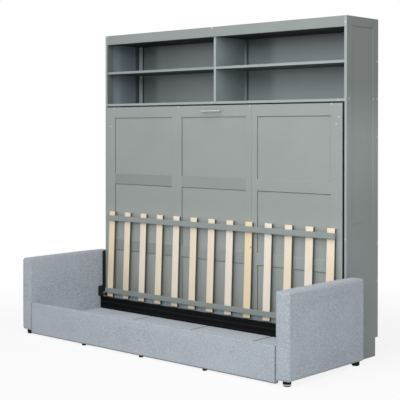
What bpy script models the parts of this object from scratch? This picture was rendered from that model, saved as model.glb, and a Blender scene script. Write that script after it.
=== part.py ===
"""Wall bed with a sofa in front of it: a cabinet whose panelled door is the underside of a bed.

Metres, +Z up, +X to the right and +Y towards the wall. The origin is on the floor, in the middle
of the floor area that the whole piece takes up. Lengths along Y are measured from the front edges
of the cabinet's side panels, which an empty carries at its place behind the origin.
"""

import math

import bmesh
import bpy
from mathutils import Matrix, Vector

# Fits
FIT = 0.0003            # between two pieces that touch
PIN_FIT = 0.0003        # round a turning pin
CUT_OVERRUN = 0.002     # how far a cutter passes the face it cuts
ARRIS = 0.001           # eased edge of a sawn board
ROUND_SIDES = 24
CORNER_STEPS = 4

# Cabinet
CABINET_WIDTH = 2.200
CABINET_HEIGHT = 2.175
CABINET_DEPTH = 0.360
BOARD = 0.018
FASCIA_HEIGHT = 0.068
SHELVING_HEIGHT = 0.535   # from under the deck to the top
CUBBY_HEIGHT = 0.224
SHELF_SETBACK = 0.010
BATTEN_WIDTH = 0.055
BATTEN = 0.018
BACK_PANEL_HEIGHT = 0.722
WALL_RAIL_BOTTOM = 0.450
WALL_RAIL_HEIGHT = 0.310

# Framed and panelled side
SIDE_FRONT_STILE = 0.061
SIDE_REAR_STILE = 0.060
SIDE_TOP_RAIL = 0.060
SIDE_PLAIN_HEIGHT = 0.866
SIDE_RECESS = 0.0045
SKIRTING_HEIGHT = 0.120
SKIRTING_DEPTH = 0.030

# Door, which is the bed's underside
DOOR_SIDE_GAP = 0.0055
DOOR_BOTTOM = 0.062
DOOR_PROUD = 0.009
DOOR_TOP_GAP = 0.008
DOOR_STILE = 0.0895
DOOR_MIDDLE_STILE = 0.096
DOOR_RAIL = 0.080
DOOR_MIDDLE_RAIL = 0.0775
DOOR_ROWS = 3
DOOR_COLUMNS = 3
DOOR_RECESS = 0.0055
RECESS_SLOPE = 0.003

# Bar handle
HANDLE_LENGTH = 0.171
HANDLE_DIAMETER = 0.012
HANDLE_POST_SPACING = 0.128
HANDLE_POST_DIAMETER = 0.009
HANDLE_REACH = 0.026
HANDLE_DROP = 0.040

# Bed frame behind the door
BED_FRAME_DEPTH = 0.1107
BED_END_RAIL = 0.025
BED_LONG_RAIL = 0.018
BED_FRAME_INSET = 0.002
BED_LEDGE = 0.018
BED_CENTRE_BEAM = 0.040
BED_SLAT_BED = 0.031
BED_SLAT_COUNT = 13
BED_SLAT_WIDTH = 0.068
BED_SLAT = 0.012
BED_SLAT_END_MARGIN = 0.055

# Turning parts of the bed
PIVOT_Y = 0.030
PIVOT_PIN = 0.010       # radius
PLATE = 0.004           # every steel plate
PIVOT_PLATE_FRONT = 0.008
PIVOT_PLATE_BACK = 0.105
PIVOT_PLATE_BOTTOM = 0.185
PIVOT_PLATE_TOP = 0.585
PLATE_CORNER = 0.018
BRACKET_DROP = 0.078
BRACKET_RISE = 0.210
BRACKET_FRONT = 0.012
BRACKET_BACK = 0.100
STRUT_SPACE = 0.0315    # between the end rail and the door's edge

# Gas struts
STRUT_ANCHOR_BACK = 0.017
STRUT_ANCHOR_RISE = 0.246
STRUT_LEVER_BACK = 0.0292
STRUT_LEVER_DROP = 0.0537
STRUT_TUBE_RADIUS = 0.010
STRUT_TUBE_LENGTH = 0.180
STRUT_BORE_DEPTH = 0.150
STRUT_ROD_RADIUS = 0.005
STRUT_ROD_OVERLAP = 0.045
STRUT_EYE_RADIUS = 0.010
STRUT_EYE_WIDTH = 0.012
STRUT_STUD = 0.004

# Sofa
ARM_THICKNESS = 0.100
ARM_FRONT = -0.724
ARM_REAR = 0.050
ARM_BOTTOM = 0.037
ARM_TOP = 0.545
ARM_EDGE = 0.016
ARM_CROWN = 0.003
FRONT_RAIL_THICKNESS = 0.035
FRONT_RAIL_BOTTOM = 0.018
FRONT_RAIL_TOP = 0.230
FRONT_RAIL_EDGE = 0.014
FRONT_RAIL_CROWN = 0.002
REST_GAP = 0.0005       # under the lowered bed
SEAT_TOP = 0.111
SEAT_BOARD = 0.020
SEAT_BOARD_COUNT = 4
SEAT_EDGE = 0.005
SEAT_CROWN = 0.001
BEARER_WIDTH = 0.040
BEARER_HEIGHT = 0.040
BEAM_FRONT = -0.050
BEAM_BACK = -0.0105
BEAM_HEIGHT = 0.079
BEAM_WALL = 0.003
BEAM_LIP = 0.030
BEAM_RIBS = 5
BEAM_RIB_DEPTH = 0.0012
REAR_RAIL_FRONT = -0.028
REAR_RAIL_HEIGHT = 0.038
REAR_RAIL_EDGE = 0.005
REAR_RAIL_CROWN = 0.001
FOOT_RADIUS = 0.025
FOOT_RING_RADIUS = 0.022
FOOT_RING_HEIGHT = 0.006
FOOT_FRONT_INSET = 0.045
FOOT_REAR_INSET = 0.030
RAIL_FOOT_RADIUS = 0.015
RAIL_FOOT_SPACING_SHARE = 0.25  # of the cabinet's width
RAIL_FOOT_ROOT = 0.020  # how far a glide's stem is let into the rail

# Steel side plates that carry the slatted back
STEM_FRONT = -0.030
STEM_BACK = 0.045
NOSE_FRONT = -0.073
NOSE_BOTTOM = 0.200
NOSE_TOP = 0.276
PLATE_TOP = 0.541
BOLT_HEAD_RADIUS = 0.008
BOLT_HEAD_HEIGHT = 0.005
BOLT_Y = -0.012
BOLT_HEIGHT = 0.423
LOWER_BOLT_HEIGHT = 0.330

# Slatted back
BACK_PIVOT_Y = -0.047
BACK_PIVOT_Z = 0.2175
BACK_PIVOT_PIN = 0.006
BACK_TO_DOOR = 0.001
BACK_TIP_GAP = 0.0145
BACK_HEEL = 0.013
SLAT_COUNT = 13
SLAT_END_MARGIN = 0.100  # from the cabinet's side to the middle of the last slat
SLAT_WIDTH = 0.065
SLAT = 0.012
SLAT_EDGE = 0.003
BACK_RAIL_END_MARGIN = 0.063
BACK_RAIL = 0.018
BACK_RAIL_EDGE = 0.003
LOWER_RAIL_RISE = 0.016
LOWER_RAIL_HEIGHT = 0.034
TOP_RAIL_DROP = 0.029
TOP_RAIL_HEIGHT = 0.038
HINGE_PLATE_CORNER = 0.008

FLAT = (0.0, 0.0)       # a face without a crown

# Places that follow from these sizes
HALF_WIDTH = CABINET_WIDTH / 2
INNER_HALF = HALF_WIDTH - BOARD
LINING_HALF = INNER_HALF - FIT
BACK_FACE = CABINET_DEPTH - BOARD
DECK_BOTTOM = CABINET_HEIGHT - SHELVING_HEIGHT
DOOR_TOP = DECK_BOTTOM - DOOR_TOP_GAP
DOOR_HEIGHT = DOOR_TOP - DOOR_BOTTOM
DOOR_HALF = INNER_HALF - DOOR_SIDE_GAP
DECK_TOP = DECK_BOTTOM + BOARD
SHELF_BOTTOM = DECK_TOP + CUBBY_HEIGHT
SHELF_TOP = SHELF_BOTTOM + BOARD
TOP_BOTTOM = CABINET_HEIGHT - FASCIA_HEIGHT
PIVOT_Z = FRONT_RAIL_TOP + REST_GAP + PIVOT_Y + DOOR_PROUD
END_RAIL_OUTER = DOOR_HALF - STRUT_SPACE
END_RAIL_INNER = END_RAIL_OUTER - BED_END_RAIL
FRAME_BOTTOM = DOOR_BOTTOM + BED_FRAME_INSET
FRAME_TOP = DOOR_TOP - BED_FRAME_INSET
FRAME_FRONT = BOARD - DOOR_PROUD + FIT
SLAT_BED_Y = BOARD - DOOR_PROUD + BED_SLAT_BED
ARM_INNER = HALF_WIDTH + FIT + PLATE + FIT
ARM_OUTER = ARM_INNER + ARM_THICKNESS
FRONT_RAIL_REAR = ARM_FRONT + FRONT_RAIL_THICKNESS
SEAT_BOTTOM = SEAT_TOP - SEAT_BOARD
BEAM_TOP = SEAT_TOP + BEAM_HEIGHT
SLAT_TIP = BACK_PIVOT_Y - FRONT_RAIL_REAR - BACK_TIP_GAP
SLAT_SPAN = CABINET_WIDTH - 2 * SLAT_END_MARGIN
BACK_RAIL_HALF = HALF_WIDTH - BACK_RAIL_END_MARGIN
BACK_TO_DOOR_FACE = -DOOR_PROUD - BACK_TO_DOOR - BACK_PIVOT_Y
BACK_LEAN = math.asin(BACK_TO_DOOR_FACE / math.hypot(SLAT, SLAT_TIP)) - math.atan2(SLAT, SLAT_TIP)
WORLD_BACK = -(ARM_FRONT + CABINET_DEPTH) / 2

# Colour, roughness and metallic value of each finish
FINISHES = {
    "painted grey": ((0.335, 0.365, 0.355), 0.55, 0.0),
    "bed board": ((0.62, 0.50, 0.36), 0.60, 0.0),
    "birch": ((0.80, 0.68, 0.50), 0.50, 0.0),
    "blue grey fabric": ((0.34, 0.39, 0.44), 0.95, 0.0),
    "black steel": ((0.016, 0.016, 0.018), 0.45, 0.0),
    "bright steel": ((0.62, 0.62, 0.61), 0.30, 1.0),
    "brushed nickel": ((0.60, 0.59, 0.57), 0.35, 1.0),
    "black plastic": ((0.012, 0.012, 0.012), 0.55, 0.0),
}


def clear_scene():
    for obj in list(bpy.data.objects):
        bpy.data.objects.remove(obj, do_unlink=True)


def finish_material(name, finish):
    colour, roughness, metallic = FINISHES[finish]
    material = bpy.data.materials.new(name + " " + finish)
    material.use_nodes = True
    shader = material.node_tree.nodes["Principled BSDF"]
    shader.inputs["Base Color"].default_value = (*colour, 1.0)
    shader.inputs["Roughness"].default_value = roughness
    shader.inputs["Metallic"].default_value = metallic
    return material


def axis_empty(name, location, parent=None, tilt=0.0):
    """An empty on a joint's axis. Its tilt turns it about X."""
    empty = bpy.data.objects.new(name, None)
    empty.location = location
    empty.rotation_euler = (tilt, 0.0, 0.0)
    empty.parent = parent
    bpy.context.scene.collection.objects.link(empty)
    return empty


def make(name, shape, finish, parent, location=(0.0, 0.0, 0.0), smooth=None):
    """Turns a bmesh into a named object. smooth is the angle up to which its faces shade as one."""
    bmesh.ops.recalc_face_normals(shape, faces=shape.faces)
    data = bpy.data.meshes.new(name)
    shape.to_mesh(data)
    shape.free()
    if smooth is not None:
        data.shade_smooth()
        data.set_sharp_from_angle(angle=smooth)
    obj = bpy.data.objects.new(name, data)
    obj.location = location
    obj.parent = parent
    if finish:
        data.materials.append(finish_material(name, finish))
    bpy.context.scene.collection.objects.link(obj)
    return obj


def helper(name, shape, parent, location=(0.0, 0.0, 0.0)):
    """A shape that cuts or joins another one and isn't a piece itself."""
    obj = make(name, shape, None, parent, location)
    obj.hide_render = True
    obj.display_type = "WIRE"
    return obj


def combine(obj, other, operation):
    modifier = obj.modifiers.new(operation.title() + " " + other.name, "BOOLEAN")
    modifier.operation = operation
    modifier.solver = "EXACT"
    modifier.object = other


def ease(obj, width, segments=1):
    modifier = obj.modifiers.new("Eased edges", "BEVEL")
    modifier.width = width
    modifier.segments = segments
    modifier.limit_method = "ANGLE"
    modifier.angle_limit = math.radians(30)


def add_box(shape, x, y, z):
    """Adds a box that runs over the three (low, high) spans."""
    middle = Vector(((x[0] + x[1]) / 2, (y[0] + y[1]) / 2, (z[0] + z[1]) / 2))
    size = (x[1] - x[0], y[1] - y[0], z[1] - z[0], 1.0)
    bmesh.ops.create_cube(shape, size=1.0, matrix=Matrix.Translation(middle) @ Matrix.Diagonal(size))


def add_rod(shape, radius, start, end, sides=ROUND_SIDES):
    """Adds a closed cylinder between two points."""
    start = Vector(start)
    run = Vector(end) - start
    turn = run.to_track_quat("Z", "Y").to_matrix().to_4x4()
    place = Matrix.Translation(start + run / 2) @ turn
    bmesh.ops.create_cone(shape, cap_ends=True, segments=sides, radius1=radius, radius2=radius,
                          depth=run.length, matrix=place)


def add_plate(shape, outline, span, axis=0):
    """Adds an outline grown along an axis over a span. The outline is in the other two axes, in order."""
    corners = []
    for point in outline:
        place = list(point)
        place.insert(axis, span[0])
        corners.append(shape.verts.new(place))
    grown = bmesh.ops.extrude_face_region(shape, geom=[shape.faces.new(corners)])
    moved = [item for item in grown["geom"] if isinstance(item, bmesh.types.BMVert)]
    run = [0.0, 0.0, 0.0]
    run[axis] = span[1] - span[0]
    bmesh.ops.translate(shape, verts=moved, vec=run)


def rounded(outline, radius):
    """The outline with an arc of this radius at every corner, inner or outer."""
    points = []
    for number, corner in enumerate(outline):
        corner = Vector(corner)
        back = (Vector(outline[number - 1]) - corner).normalized()
        ahead = (Vector(outline[(number + 1) % len(outline)]) - corner).normalized()
        half_angle = math.acos(max(-1.0, min(1.0, back.dot(ahead)))) / 2
        centre = corner + (back + ahead).normalized() * radius / math.sin(half_angle)
        start = corner + back * radius / math.tan(half_angle) - centre
        end = corner + ahead * radius / math.tan(half_angle) - centre
        sweep = start.angle_signed(end)
        for step in range(CORNER_STEPS + 1):
            spoke = start.copy()
            spoke.rotate(Matrix.Rotation(-sweep * step / CORNER_STEPS, 2))
            points.append(tuple(centre + spoke))
    return points


def centred(x, y, z):
    """The middle of three spans, and the spans counted from there."""
    middle = Vector((sum(x) / 2, sum(y) / 2, sum(z) / 2))
    half = Vector((x[1] - x[0], y[1] - y[0], z[1] - z[0])) / 2
    return middle, [(-h, h) for h in half]


def board(name, x, y, z, finish, parent, edge=ARRIS, segments=1):
    """A straight board with its edges eased."""
    middle, spans = centred(x, y, z)
    shape = bmesh.new()
    add_box(shape, *spans)
    obj = make(name, shape, finish, parent, middle)
    ease(obj, edge, segments)
    return obj


def route_recess(shape, facing, windows, depth, slope):
    """Sinks rectangular windows into the flat faces that look along the facing axis.

    A window is two (axis, low, high) spans. The walls of a recess slope inwards.
    """
    for window in windows:
        for axis, low, high in window:
            for place in (low, high):
                geometry = shape.verts[:] + shape.edges[:] + shape.faces[:]
                point = Vector((0.0, 0.0, 0.0))
                point[axis] = place
                normal = Vector((0.0, 0.0, 0.0))
                normal[axis] = 1.0
                bmesh.ops.bisect_plane(shape, geom=geometry, plane_co=point, plane_no=normal)
    shape.normal_update()
    for window in windows:
        floor = []
        for face in shape.faces:
            middle = face.calc_center_median()
            inside = all(low < middle[axis] < high for axis, low, high in window)
            if inside and face.normal.dot(facing) > math.cos(math.radians(1)):
                floor.append(face)
        bmesh.ops.inset_region(shape, faces=floor, thickness=slope, depth=-depth, use_even_offset=True)


def extruded_plate(name, outline, corner, x, finish, parent, location, bores=(), edge=0.0):
    """A plate cut from sheet: an outline in Y and Z with rounded corners, thick along X.

    A bore is (y, z, radius). All places are counted from the location.
    """
    shape = bmesh.new()
    add_plate(shape, rounded(outline, corner) if corner else outline, x)
    obj = make(name, shape, finish, parent, location)
    for number, (y, z, radius) in enumerate(bores):
        cutter = bmesh.new()
        low, high = min(x) - CUT_OVERRUN, max(x) + CUT_OVERRUN
        add_rod(cutter, radius, (low, y, z), (high, y, z))
        combine(obj, helper(f"{name}_bore_{number}", cutter, parent, location), "DIFFERENCE")
    if edge:
        ease(obj, edge)
    return obj


def upholstered(name, x, y, z, parent, edge, crown, cuts):
    """A fabric-covered board: crowned faces, drawn in towards wide rounded edges.

    crown holds, for X, Y and Z, the rise of the faces at the low and at the high end, and cuts
    how many strips each direction is divided into.
    """
    low = Vector((x[0] + crown[0][0], y[0] + crown[1][0], z[0] + crown[2][0]))
    high = Vector((x[1] - crown[0][1], y[1] - crown[1][1], z[1] - crown[2][1]))
    size = high - low
    shape = bmesh.new()
    bmesh.ops.create_cube(shape, size=1.0, matrix=Matrix.Diagonal((*size, 1.0)))
    for axis, count in enumerate(cuts):
        for number in range(1, count):
            point = Vector((0.0, 0.0, 0.0))
            point[axis] = size[axis] * (number / count - 0.5)
            normal = Vector((0.0, 0.0, 0.0))
            normal[axis] = 1.0
            geometry = shape.verts[:] + shape.edges[:] + shape.faces[:]
            bmesh.ops.bisect_plane(shape, geom=geometry, plane_co=point, plane_no=normal)
    for vertex in shape.verts:
        share = [2 * vertex.co[axis] / size[axis] for axis in range(3)]
        for axis in range(3):
            if abs(share[axis]) < 1 - 1e-4:
                continue
            other, another = (share[index] for index in range(3) if index != axis)
            rise = crown[axis][share[axis] > 0] * (1 - other**2) * (1 - another**2)
            vertex.co[axis] += math.copysign(rise, share[axis])
    obj = make(name, shape, "blue grey fabric", parent, (low + high) / 2, smooth=math.radians(60))
    ease(obj, edge, 3)
    return obj


def sides():
    """The two sides of the piece, by name and sign."""
    return (("left", -1), ("right", 1))


def mirrored(sign, low, high):
    """A span across X on one side, given as distances from the middle."""
    return tuple(sorted((sign * low, sign * high)))


def side_panels(parent):
    """Framed sides: plain below, one sunk panel above on both faces, cut out over the skirting."""
    outline = [
        (0.0, 0.0),
        (CABINET_DEPTH - SKIRTING_DEPTH, 0.0),
        (CABINET_DEPTH - SKIRTING_DEPTH, SKIRTING_HEIGHT),
        (CABINET_DEPTH, SKIRTING_HEIGHT),
        (CABINET_DEPTH, CABINET_HEIGHT),
        (0.0, CABINET_HEIGHT),
    ]
    window = (
        (1, SIDE_FRONT_STILE, CABINET_DEPTH - SIDE_REAR_STILE),
        (2, SIDE_PLAIN_HEIGHT, CABINET_HEIGHT - SIDE_TOP_RAIL),
    )
    for side, sign in sides():
        shape = bmesh.new()
        add_plate(shape, outline, (-BOARD / 2, BOARD / 2))
        bmesh.ops.recalc_face_normals(shape, faces=shape.faces)
        for facing in (Vector((-1.0, 0.0, 0.0)), Vector((1.0, 0.0, 0.0))):
            route_recess(shape, facing, [window], SIDE_RECESS, RECESS_SLOPE)
        place = (sign * (HALF_WIDTH - BOARD / 2), 0.0, 0.0)
        obj = make(f"side_panel_{side}", shape, "painted grey", parent, place)
        ease(obj, ARRIS)


def carcass(parent):
    """Top, fascia, shelves, divider, back and the boards that tie the sides together.

    The top lies low between the sides, with its underside level with the fascia's lower edge.
    """
    grey = "painted grey"
    across = (-LINING_HALF, LINING_HALF)
    board("top_fascia", across, (0.0, BOARD), (TOP_BOTTOM, CABINET_HEIGHT), grey, parent)
    top_depth = (BOARD + FIT, CABINET_DEPTH)
    board("top_panel", across, top_depth, (TOP_BOTTOM, TOP_BOTTOM + BOARD), grey, parent)
    board("deck_shelf", across, (0.0, BACK_FACE - FIT), (DECK_BOTTOM, DECK_TOP), grey, parent)
    back_top = TOP_BOTTOM - FIT
    back_depth = (BACK_FACE, CABINET_DEPTH)
    rail_height = (WALL_RAIL_BOTTOM, WALL_RAIL_BOTTOM + WALL_RAIL_HEIGHT)
    board("wall_rail", across, back_depth, rail_height, grey, parent)

    divider_half = BOARD / 2
    batten_front = BACK_FACE - BATTEN
    notch = FIT + ARRIS
    for side, sign in sides():
        outline = [
            (divider_half + FIT, SHELF_SETBACK),
            (LINING_HALF, SHELF_SETBACK),
            (LINING_HALF, batten_front - notch),
            (LINING_HALF - BATTEN_WIDTH - notch, batten_front - notch),
            (LINING_HALF - BATTEN_WIDTH - notch, BACK_FACE - FIT),
            (BATTEN_WIDTH / 2 + notch, BACK_FACE - FIT),
            (BATTEN_WIDTH / 2 + notch, batten_front - notch),
            (divider_half + FIT, batten_front - notch),
        ]
        shelf = bmesh.new()
        add_plate(shelf, [(sign * x, y) for x, y in outline], (SHELF_BOTTOM, SHELF_TOP), axis=2)
        ease(make(f"shelf_{side}", shelf, grey, parent), ARRIS)

    outline = [
        (SHELF_SETBACK, DECK_TOP + FIT),
        (batten_front - FIT, DECK_TOP + FIT),
        (batten_front - FIT, back_top),
        (SHELF_SETBACK, back_top),
    ]
    extruded_plate("shelf_divider", outline, 0.0, (-divider_half, divider_half), grey, parent,
                   (0.0, 0.0, 0.0), edge=ARRIS)

    panel = bmesh.new()
    add_box(panel, across, back_depth, (back_top - BACK_PANEL_HEIGHT, back_top))
    panel = make("back_panel", panel, grey, parent)
    columns = [
        (-LINING_HALF, BATTEN_WIDTH - LINING_HALF),
        (-BATTEN_WIDTH / 2, BATTEN_WIDTH / 2),
        (LINING_HALF - BATTEN_WIDTH, LINING_HALF),
    ]
    for number, column in enumerate(columns):
        batten = bmesh.new()
        add_box(batten, column, (batten_front, BACK_FACE + BOARD / 2), (DECK_TOP + FIT, back_top))
        combine(panel, helper(f"back_batten_{number + 1}", batten, parent), "UNION")


def pivot_plates(parent):
    """Steel plates inside the cabinet: the bed's bearing below, the strut's anchor above."""
    bearing = (PIVOT_Y, PIVOT_Z, PIVOT_PIN + PIN_FIT)
    outline = [
        (PIVOT_PLATE_FRONT, PIVOT_PLATE_BOTTOM),
        (PIVOT_PLATE_BACK, PIVOT_PLATE_BOTTOM),
        (PIVOT_PLATE_BACK, PIVOT_PLATE_TOP),
        (PIVOT_PLATE_FRONT, PIVOT_PLATE_TOP),
    ]
    anchor = (PIVOT_Y + STRUT_ANCHOR_BACK, PIVOT_Z + STRUT_ANCHOR_RISE)
    for side, sign in sides():
        span = mirrored(sign, LINING_HALF - PLATE, LINING_HALF)
        plate = extruded_plate(f"pivot_plate_{side}", outline, PLATE_CORNER, span, "black steel", parent,
                               (0.0, 0.0, 0.0), [bearing])
        stud = bmesh.new()
        inner = (sign * (strut_middle() - STRUT_EYE_WIDTH / 2), *anchor)
        outer = (sign * (LINING_HALF - PLATE / 2), *anchor)
        add_rod(stud, STRUT_STUD, inner, outer)
        combine(plate, helper(f"strut_anchor_{side}", stud, parent), "UNION")


def strut_middle():
    """How far from the middle of the piece the struts stand."""
    return END_RAIL_OUTER + (LINING_HALF - PLATE - END_RAIL_OUTER) / 2


def door_boards(parent):
    """Three routed boards side by side, which meet in the middle of the two inner stiles."""
    column = (2 * (DOOR_HALF - DOOR_STILE) - (DOOR_COLUMNS - 1) * DOOR_MIDDLE_STILE) / DOOR_COLUMNS
    row = (DOOR_HEIGHT - 2 * DOOR_RAIL - (DOOR_ROWS - 1) * DOOR_MIDDLE_RAIL) / DOOR_ROWS
    names = ("left", "centre", "right")
    for number in range(DOOR_COLUMNS):
        recess_low = -DOOR_HALF + DOOR_STILE + number * (column + DOOR_MIDDLE_STILE)
        recess_high = recess_low + column
        low = -DOOR_HALF if number == 0 else recess_low - DOOR_MIDDLE_STILE / 2 + FIT
        high = DOOR_HALF if number == DOOR_COLUMNS - 1 else recess_high + DOOR_MIDDLE_STILE / 2 - FIT
        middle, spans = centred((low, high), (-DOOR_PROUD, BOARD - DOOR_PROUD), (DOOR_BOTTOM, DOOR_TOP))
        shape = bmesh.new()
        add_box(shape, *spans)
        windows = []
        for level in range(DOOR_ROWS):
            bottom = DOOR_BOTTOM + DOOR_RAIL + level * (row + DOOR_MIDDLE_RAIL) - middle.z
            across = (0, recess_low - middle.x, recess_high - middle.x)
            windows.append((across, (2, bottom, bottom + row)))
        route_recess(shape, Vector((0.0, -1.0, 0.0)), windows, DOOR_RECESS, RECESS_SLOPE)
        name = f"door_board_{names[number]}"
        place = middle - Vector((0.0, PIVOT_Y, PIVOT_Z))
        ease(make(name, shape, "painted grey", parent, place), ARRIS)


def door_handle(parent):
    """A round bar on two posts."""
    bar_y = -DOOR_PROUD - HANDLE_REACH - PIVOT_Y
    bar_z = DOOR_TOP - HANDLE_DROP - PIVOT_Z
    shape = bmesh.new()
    half = HANDLE_LENGTH / 2
    add_rod(shape, HANDLE_DIAMETER / 2, (-half, 0.0, 0.0), (half, 0.0, 0.0))
    bar = make("door_handle", shape, "brushed nickel", parent, (0.0, bar_y, bar_z), smooth=math.radians(40))
    for side, sign in sides():
        post = bmesh.new()
        x = sign * HANDLE_POST_SPACING / 2
        add_rod(post, HANDLE_POST_DIAMETER / 2, (x, 0.0, 0.0), (x, HANDLE_REACH - FIT, 0.0))
        combine(bar, helper(f"handle_post_{side}", post, parent, (0.0, bar_y, bar_z)), "UNION")
    ease(bar, ARRIS)


def bed_frame(parent):
    """The frame behind the door: rails all round, a beam along the middle and slats from rail to rail."""
    wood = "bed board"
    back = FRAME_FRONT + BED_FRAME_DEPTH
    depth = (FRAME_FRONT - PIVOT_Y, back - PIVOT_Y)
    bottom = FRAME_BOTTOM - PIVOT_Z
    top = FRAME_TOP - PIVOT_Z
    for side, sign in sides():
        span = mirrored(sign, END_RAIL_INNER, END_RAIL_OUTER)
        board(f"bed_end_rail_{side}", span, depth, (bottom, top), wood, parent)
    inner = END_RAIL_INNER - FIT
    across = (-inner, inner)
    slat_y = SLAT_BED_Y - PIVOT_Y
    ledge = (slat_y - FIT - BED_LEDGE, slat_y - FIT)
    for name, outer, sign in (("low", bottom, 1), ("high", top, -1)):
        face = outer + sign * BED_LONG_RAIL
        lip = face + sign * BED_LEDGE
        outline = [
            (depth[0], outer), (depth[1], outer), (depth[1], face), (ledge[1], face),
            (ledge[1], lip), (ledge[0], lip), (ledge[0], face), (depth[0], face),
        ]
        rail = bmesh.new()
        add_plate(rail, outline, across)
        ease(make(f"bed_{name}_rail", rail, wood, parent), ARRIS)

    low = bottom + BED_LONG_RAIL + FIT + ARRIS
    high = top - BED_LONG_RAIL - FIT - ARRIS
    middle = (low + high) / 2
    beam = bmesh.new()
    beam_depth = (FRAME_FRONT - PIVOT_Y, slat_y + BED_SLAT / 2)
    add_box(beam, across, beam_depth, (middle - BED_CENTRE_BEAM / 2, middle + BED_CENTRE_BEAM / 2))
    base = make("bed_slat_base", beam, "birch", parent)
    slats = bmesh.new()
    first = -inner + BED_SLAT_END_MARGIN
    pitch = 2 * (inner - BED_SLAT_END_MARGIN) / (BED_SLAT_COUNT - 1)
    for number in range(BED_SLAT_COUNT):
        x = first + number * pitch
        span = (x - BED_SLAT_WIDTH / 2, x + BED_SLAT_WIDTH / 2)
        add_box(slats, span, (slat_y, slat_y + BED_SLAT), (low, high))
    combine(base, helper("bed_slats", slats, parent), "UNION")


def pivot_brackets(parent):
    """Plates on the bed's end rails, each with the pin that it turns on and the strut's stud."""
    outline = [
        (BRACKET_FRONT - PIVOT_Y, -BRACKET_DROP),
        (BRACKET_BACK - PIVOT_Y, -BRACKET_DROP),
        (BRACKET_BACK - PIVOT_Y, BRACKET_RISE),
        (BRACKET_FRONT - PIVOT_Y, BRACKET_RISE),
    ]
    face = END_RAIL_OUTER + FIT
    for side, sign in sides():
        span = mirrored(sign, face, face + PLATE)
        bracket = extruded_plate(f"pivot_bracket_{side}", outline, PLATE_CORNER, span, "black steel", parent,
                                 (0.0, 0.0, 0.0))
        start = sign * (face + PLATE / 2)
        pin = bmesh.new()
        add_rod(pin, PIVOT_PIN, (start, 0.0, 0.0), (sign * (LINING_HALF - FIT), 0.0, 0.0))
        combine(bracket, helper(f"bed_pin_{side}", pin, parent), "UNION")
        stud = bmesh.new()
        lever = (STRUT_LEVER_BACK, -STRUT_LEVER_DROP)
        end = sign * (strut_middle() - STRUT_EYE_WIDTH / 2 - FIT)
        add_rod(stud, STRUT_STUD, (start, *lever), (end, *lever))
        combine(bracket, helper(f"bed_stud_{side}", stud, parent), "UNION")


def strut_line():
    """The strut's anchor, its length and its tilt about X, with the bed up."""
    anchor = Vector((0.0, PIVOT_Y + STRUT_ANCHOR_BACK, PIVOT_Z + STRUT_ANCHOR_RISE))
    foot = Vector((0.0, PIVOT_Y + STRUT_LEVER_BACK, PIVOT_Z - STRUT_LEVER_DROP))
    run = foot - anchor
    return anchor, run.length, math.atan2(run.y, -run.z)


def gas_struts(parent):
    """Each strut hangs from its anchor: a tube with an eye at the top, and a rod that slides in it."""
    _, length, _ = strut_line()
    half_eye = STRUT_EYE_WIDTH / 2
    for side, sign in sides():
        place = (sign * strut_middle(), 0.0, 0.0)
        smooth = math.radians(40)
        tube = bmesh.new()
        start = (0.0, 0.0, -STRUT_EYE_RADIUS * 3 / 4)
        add_rod(tube, STRUT_TUBE_RADIUS, start, (0.0, 0.0, -STRUT_TUBE_LENGTH))
        tube = make(f"strut_tube_{side}", tube, "black steel", parent, place, smooth=smooth)
        eye = bmesh.new()
        add_rod(eye, STRUT_EYE_RADIUS, (-half_eye, 0.0, 0.0), (half_eye, 0.0, 0.0))
        combine(tube, helper(f"tube_eye_{side}", eye, parent, place), "UNION")
        hole = bmesh.new()
        reach = half_eye + CUT_OVERRUN
        add_rod(hole, STRUT_STUD + PIN_FIT, (-reach, 0.0, 0.0), (reach, 0.0, 0.0))
        combine(tube, helper(f"tube_eye_hole_{side}", hole, parent, place), "DIFFERENCE")
        bore = bmesh.new()
        deep = (0.0, 0.0, STRUT_BORE_DEPTH - STRUT_TUBE_LENGTH)
        add_rod(bore, STRUT_ROD_RADIUS + PIN_FIT, deep, (0.0, 0.0, -STRUT_TUBE_LENGTH - CUT_OVERRUN))
        combine(tube, helper(f"tube_bore_{side}", bore, parent, place), "DIFFERENCE")

        rod = bmesh.new()
        inner_end = (0.0, 0.0, STRUT_ROD_OVERLAP - STRUT_TUBE_LENGTH)
        add_rod(rod, STRUT_ROD_RADIUS, inner_end, (0.0, 0.0, STRUT_EYE_RADIUS / 2 - length))
        rod = make(f"strut_rod_{side}", rod, "bright steel", parent, place, smooth=smooth)
        eye = bmesh.new()
        add_rod(eye, STRUT_EYE_RADIUS, (-half_eye, 0.0, -length), (half_eye, 0.0, -length))
        combine(rod, helper(f"rod_eye_{side}", eye, parent, place), "UNION")


def slatted_back(parent):
    """Slats that lean on the door, on two rails in front of them, hinged at the side plates."""
    pitch = SLAT_SPAN / (SLAT_COUNT - 1)
    for number in range(SLAT_COUNT):
        x = -SLAT_SPAN / 2 + number * pitch
        span = (x - SLAT_WIDTH / 2, x + SLAT_WIDTH / 2)
        board(f"back_slat_{number + 1:02d}", span, (0.0, SLAT), (-BACK_HEEL, SLAT_TIP), "birch", parent,
              SLAT_EDGE, 2)
    half = BACK_RAIL_HALF
    depth = (-FIT - BACK_RAIL, -FIT)
    top = SLAT_TIP - TOP_RAIL_DROP
    low = (LOWER_RAIL_RISE, LOWER_RAIL_RISE + LOWER_RAIL_HEIGHT)
    high = (top - TOP_RAIL_HEIGHT, top)
    fabric = "blue grey fabric"
    board("back_lower_rail", (-half, half), depth, low, fabric, parent, BACK_RAIL_EDGE, 2)
    board("back_top_rail", (-half, half), depth, high, fabric, parent, BACK_RAIL_EDGE, 2)
    hinge_plates(parent, half, depth, low)


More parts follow.
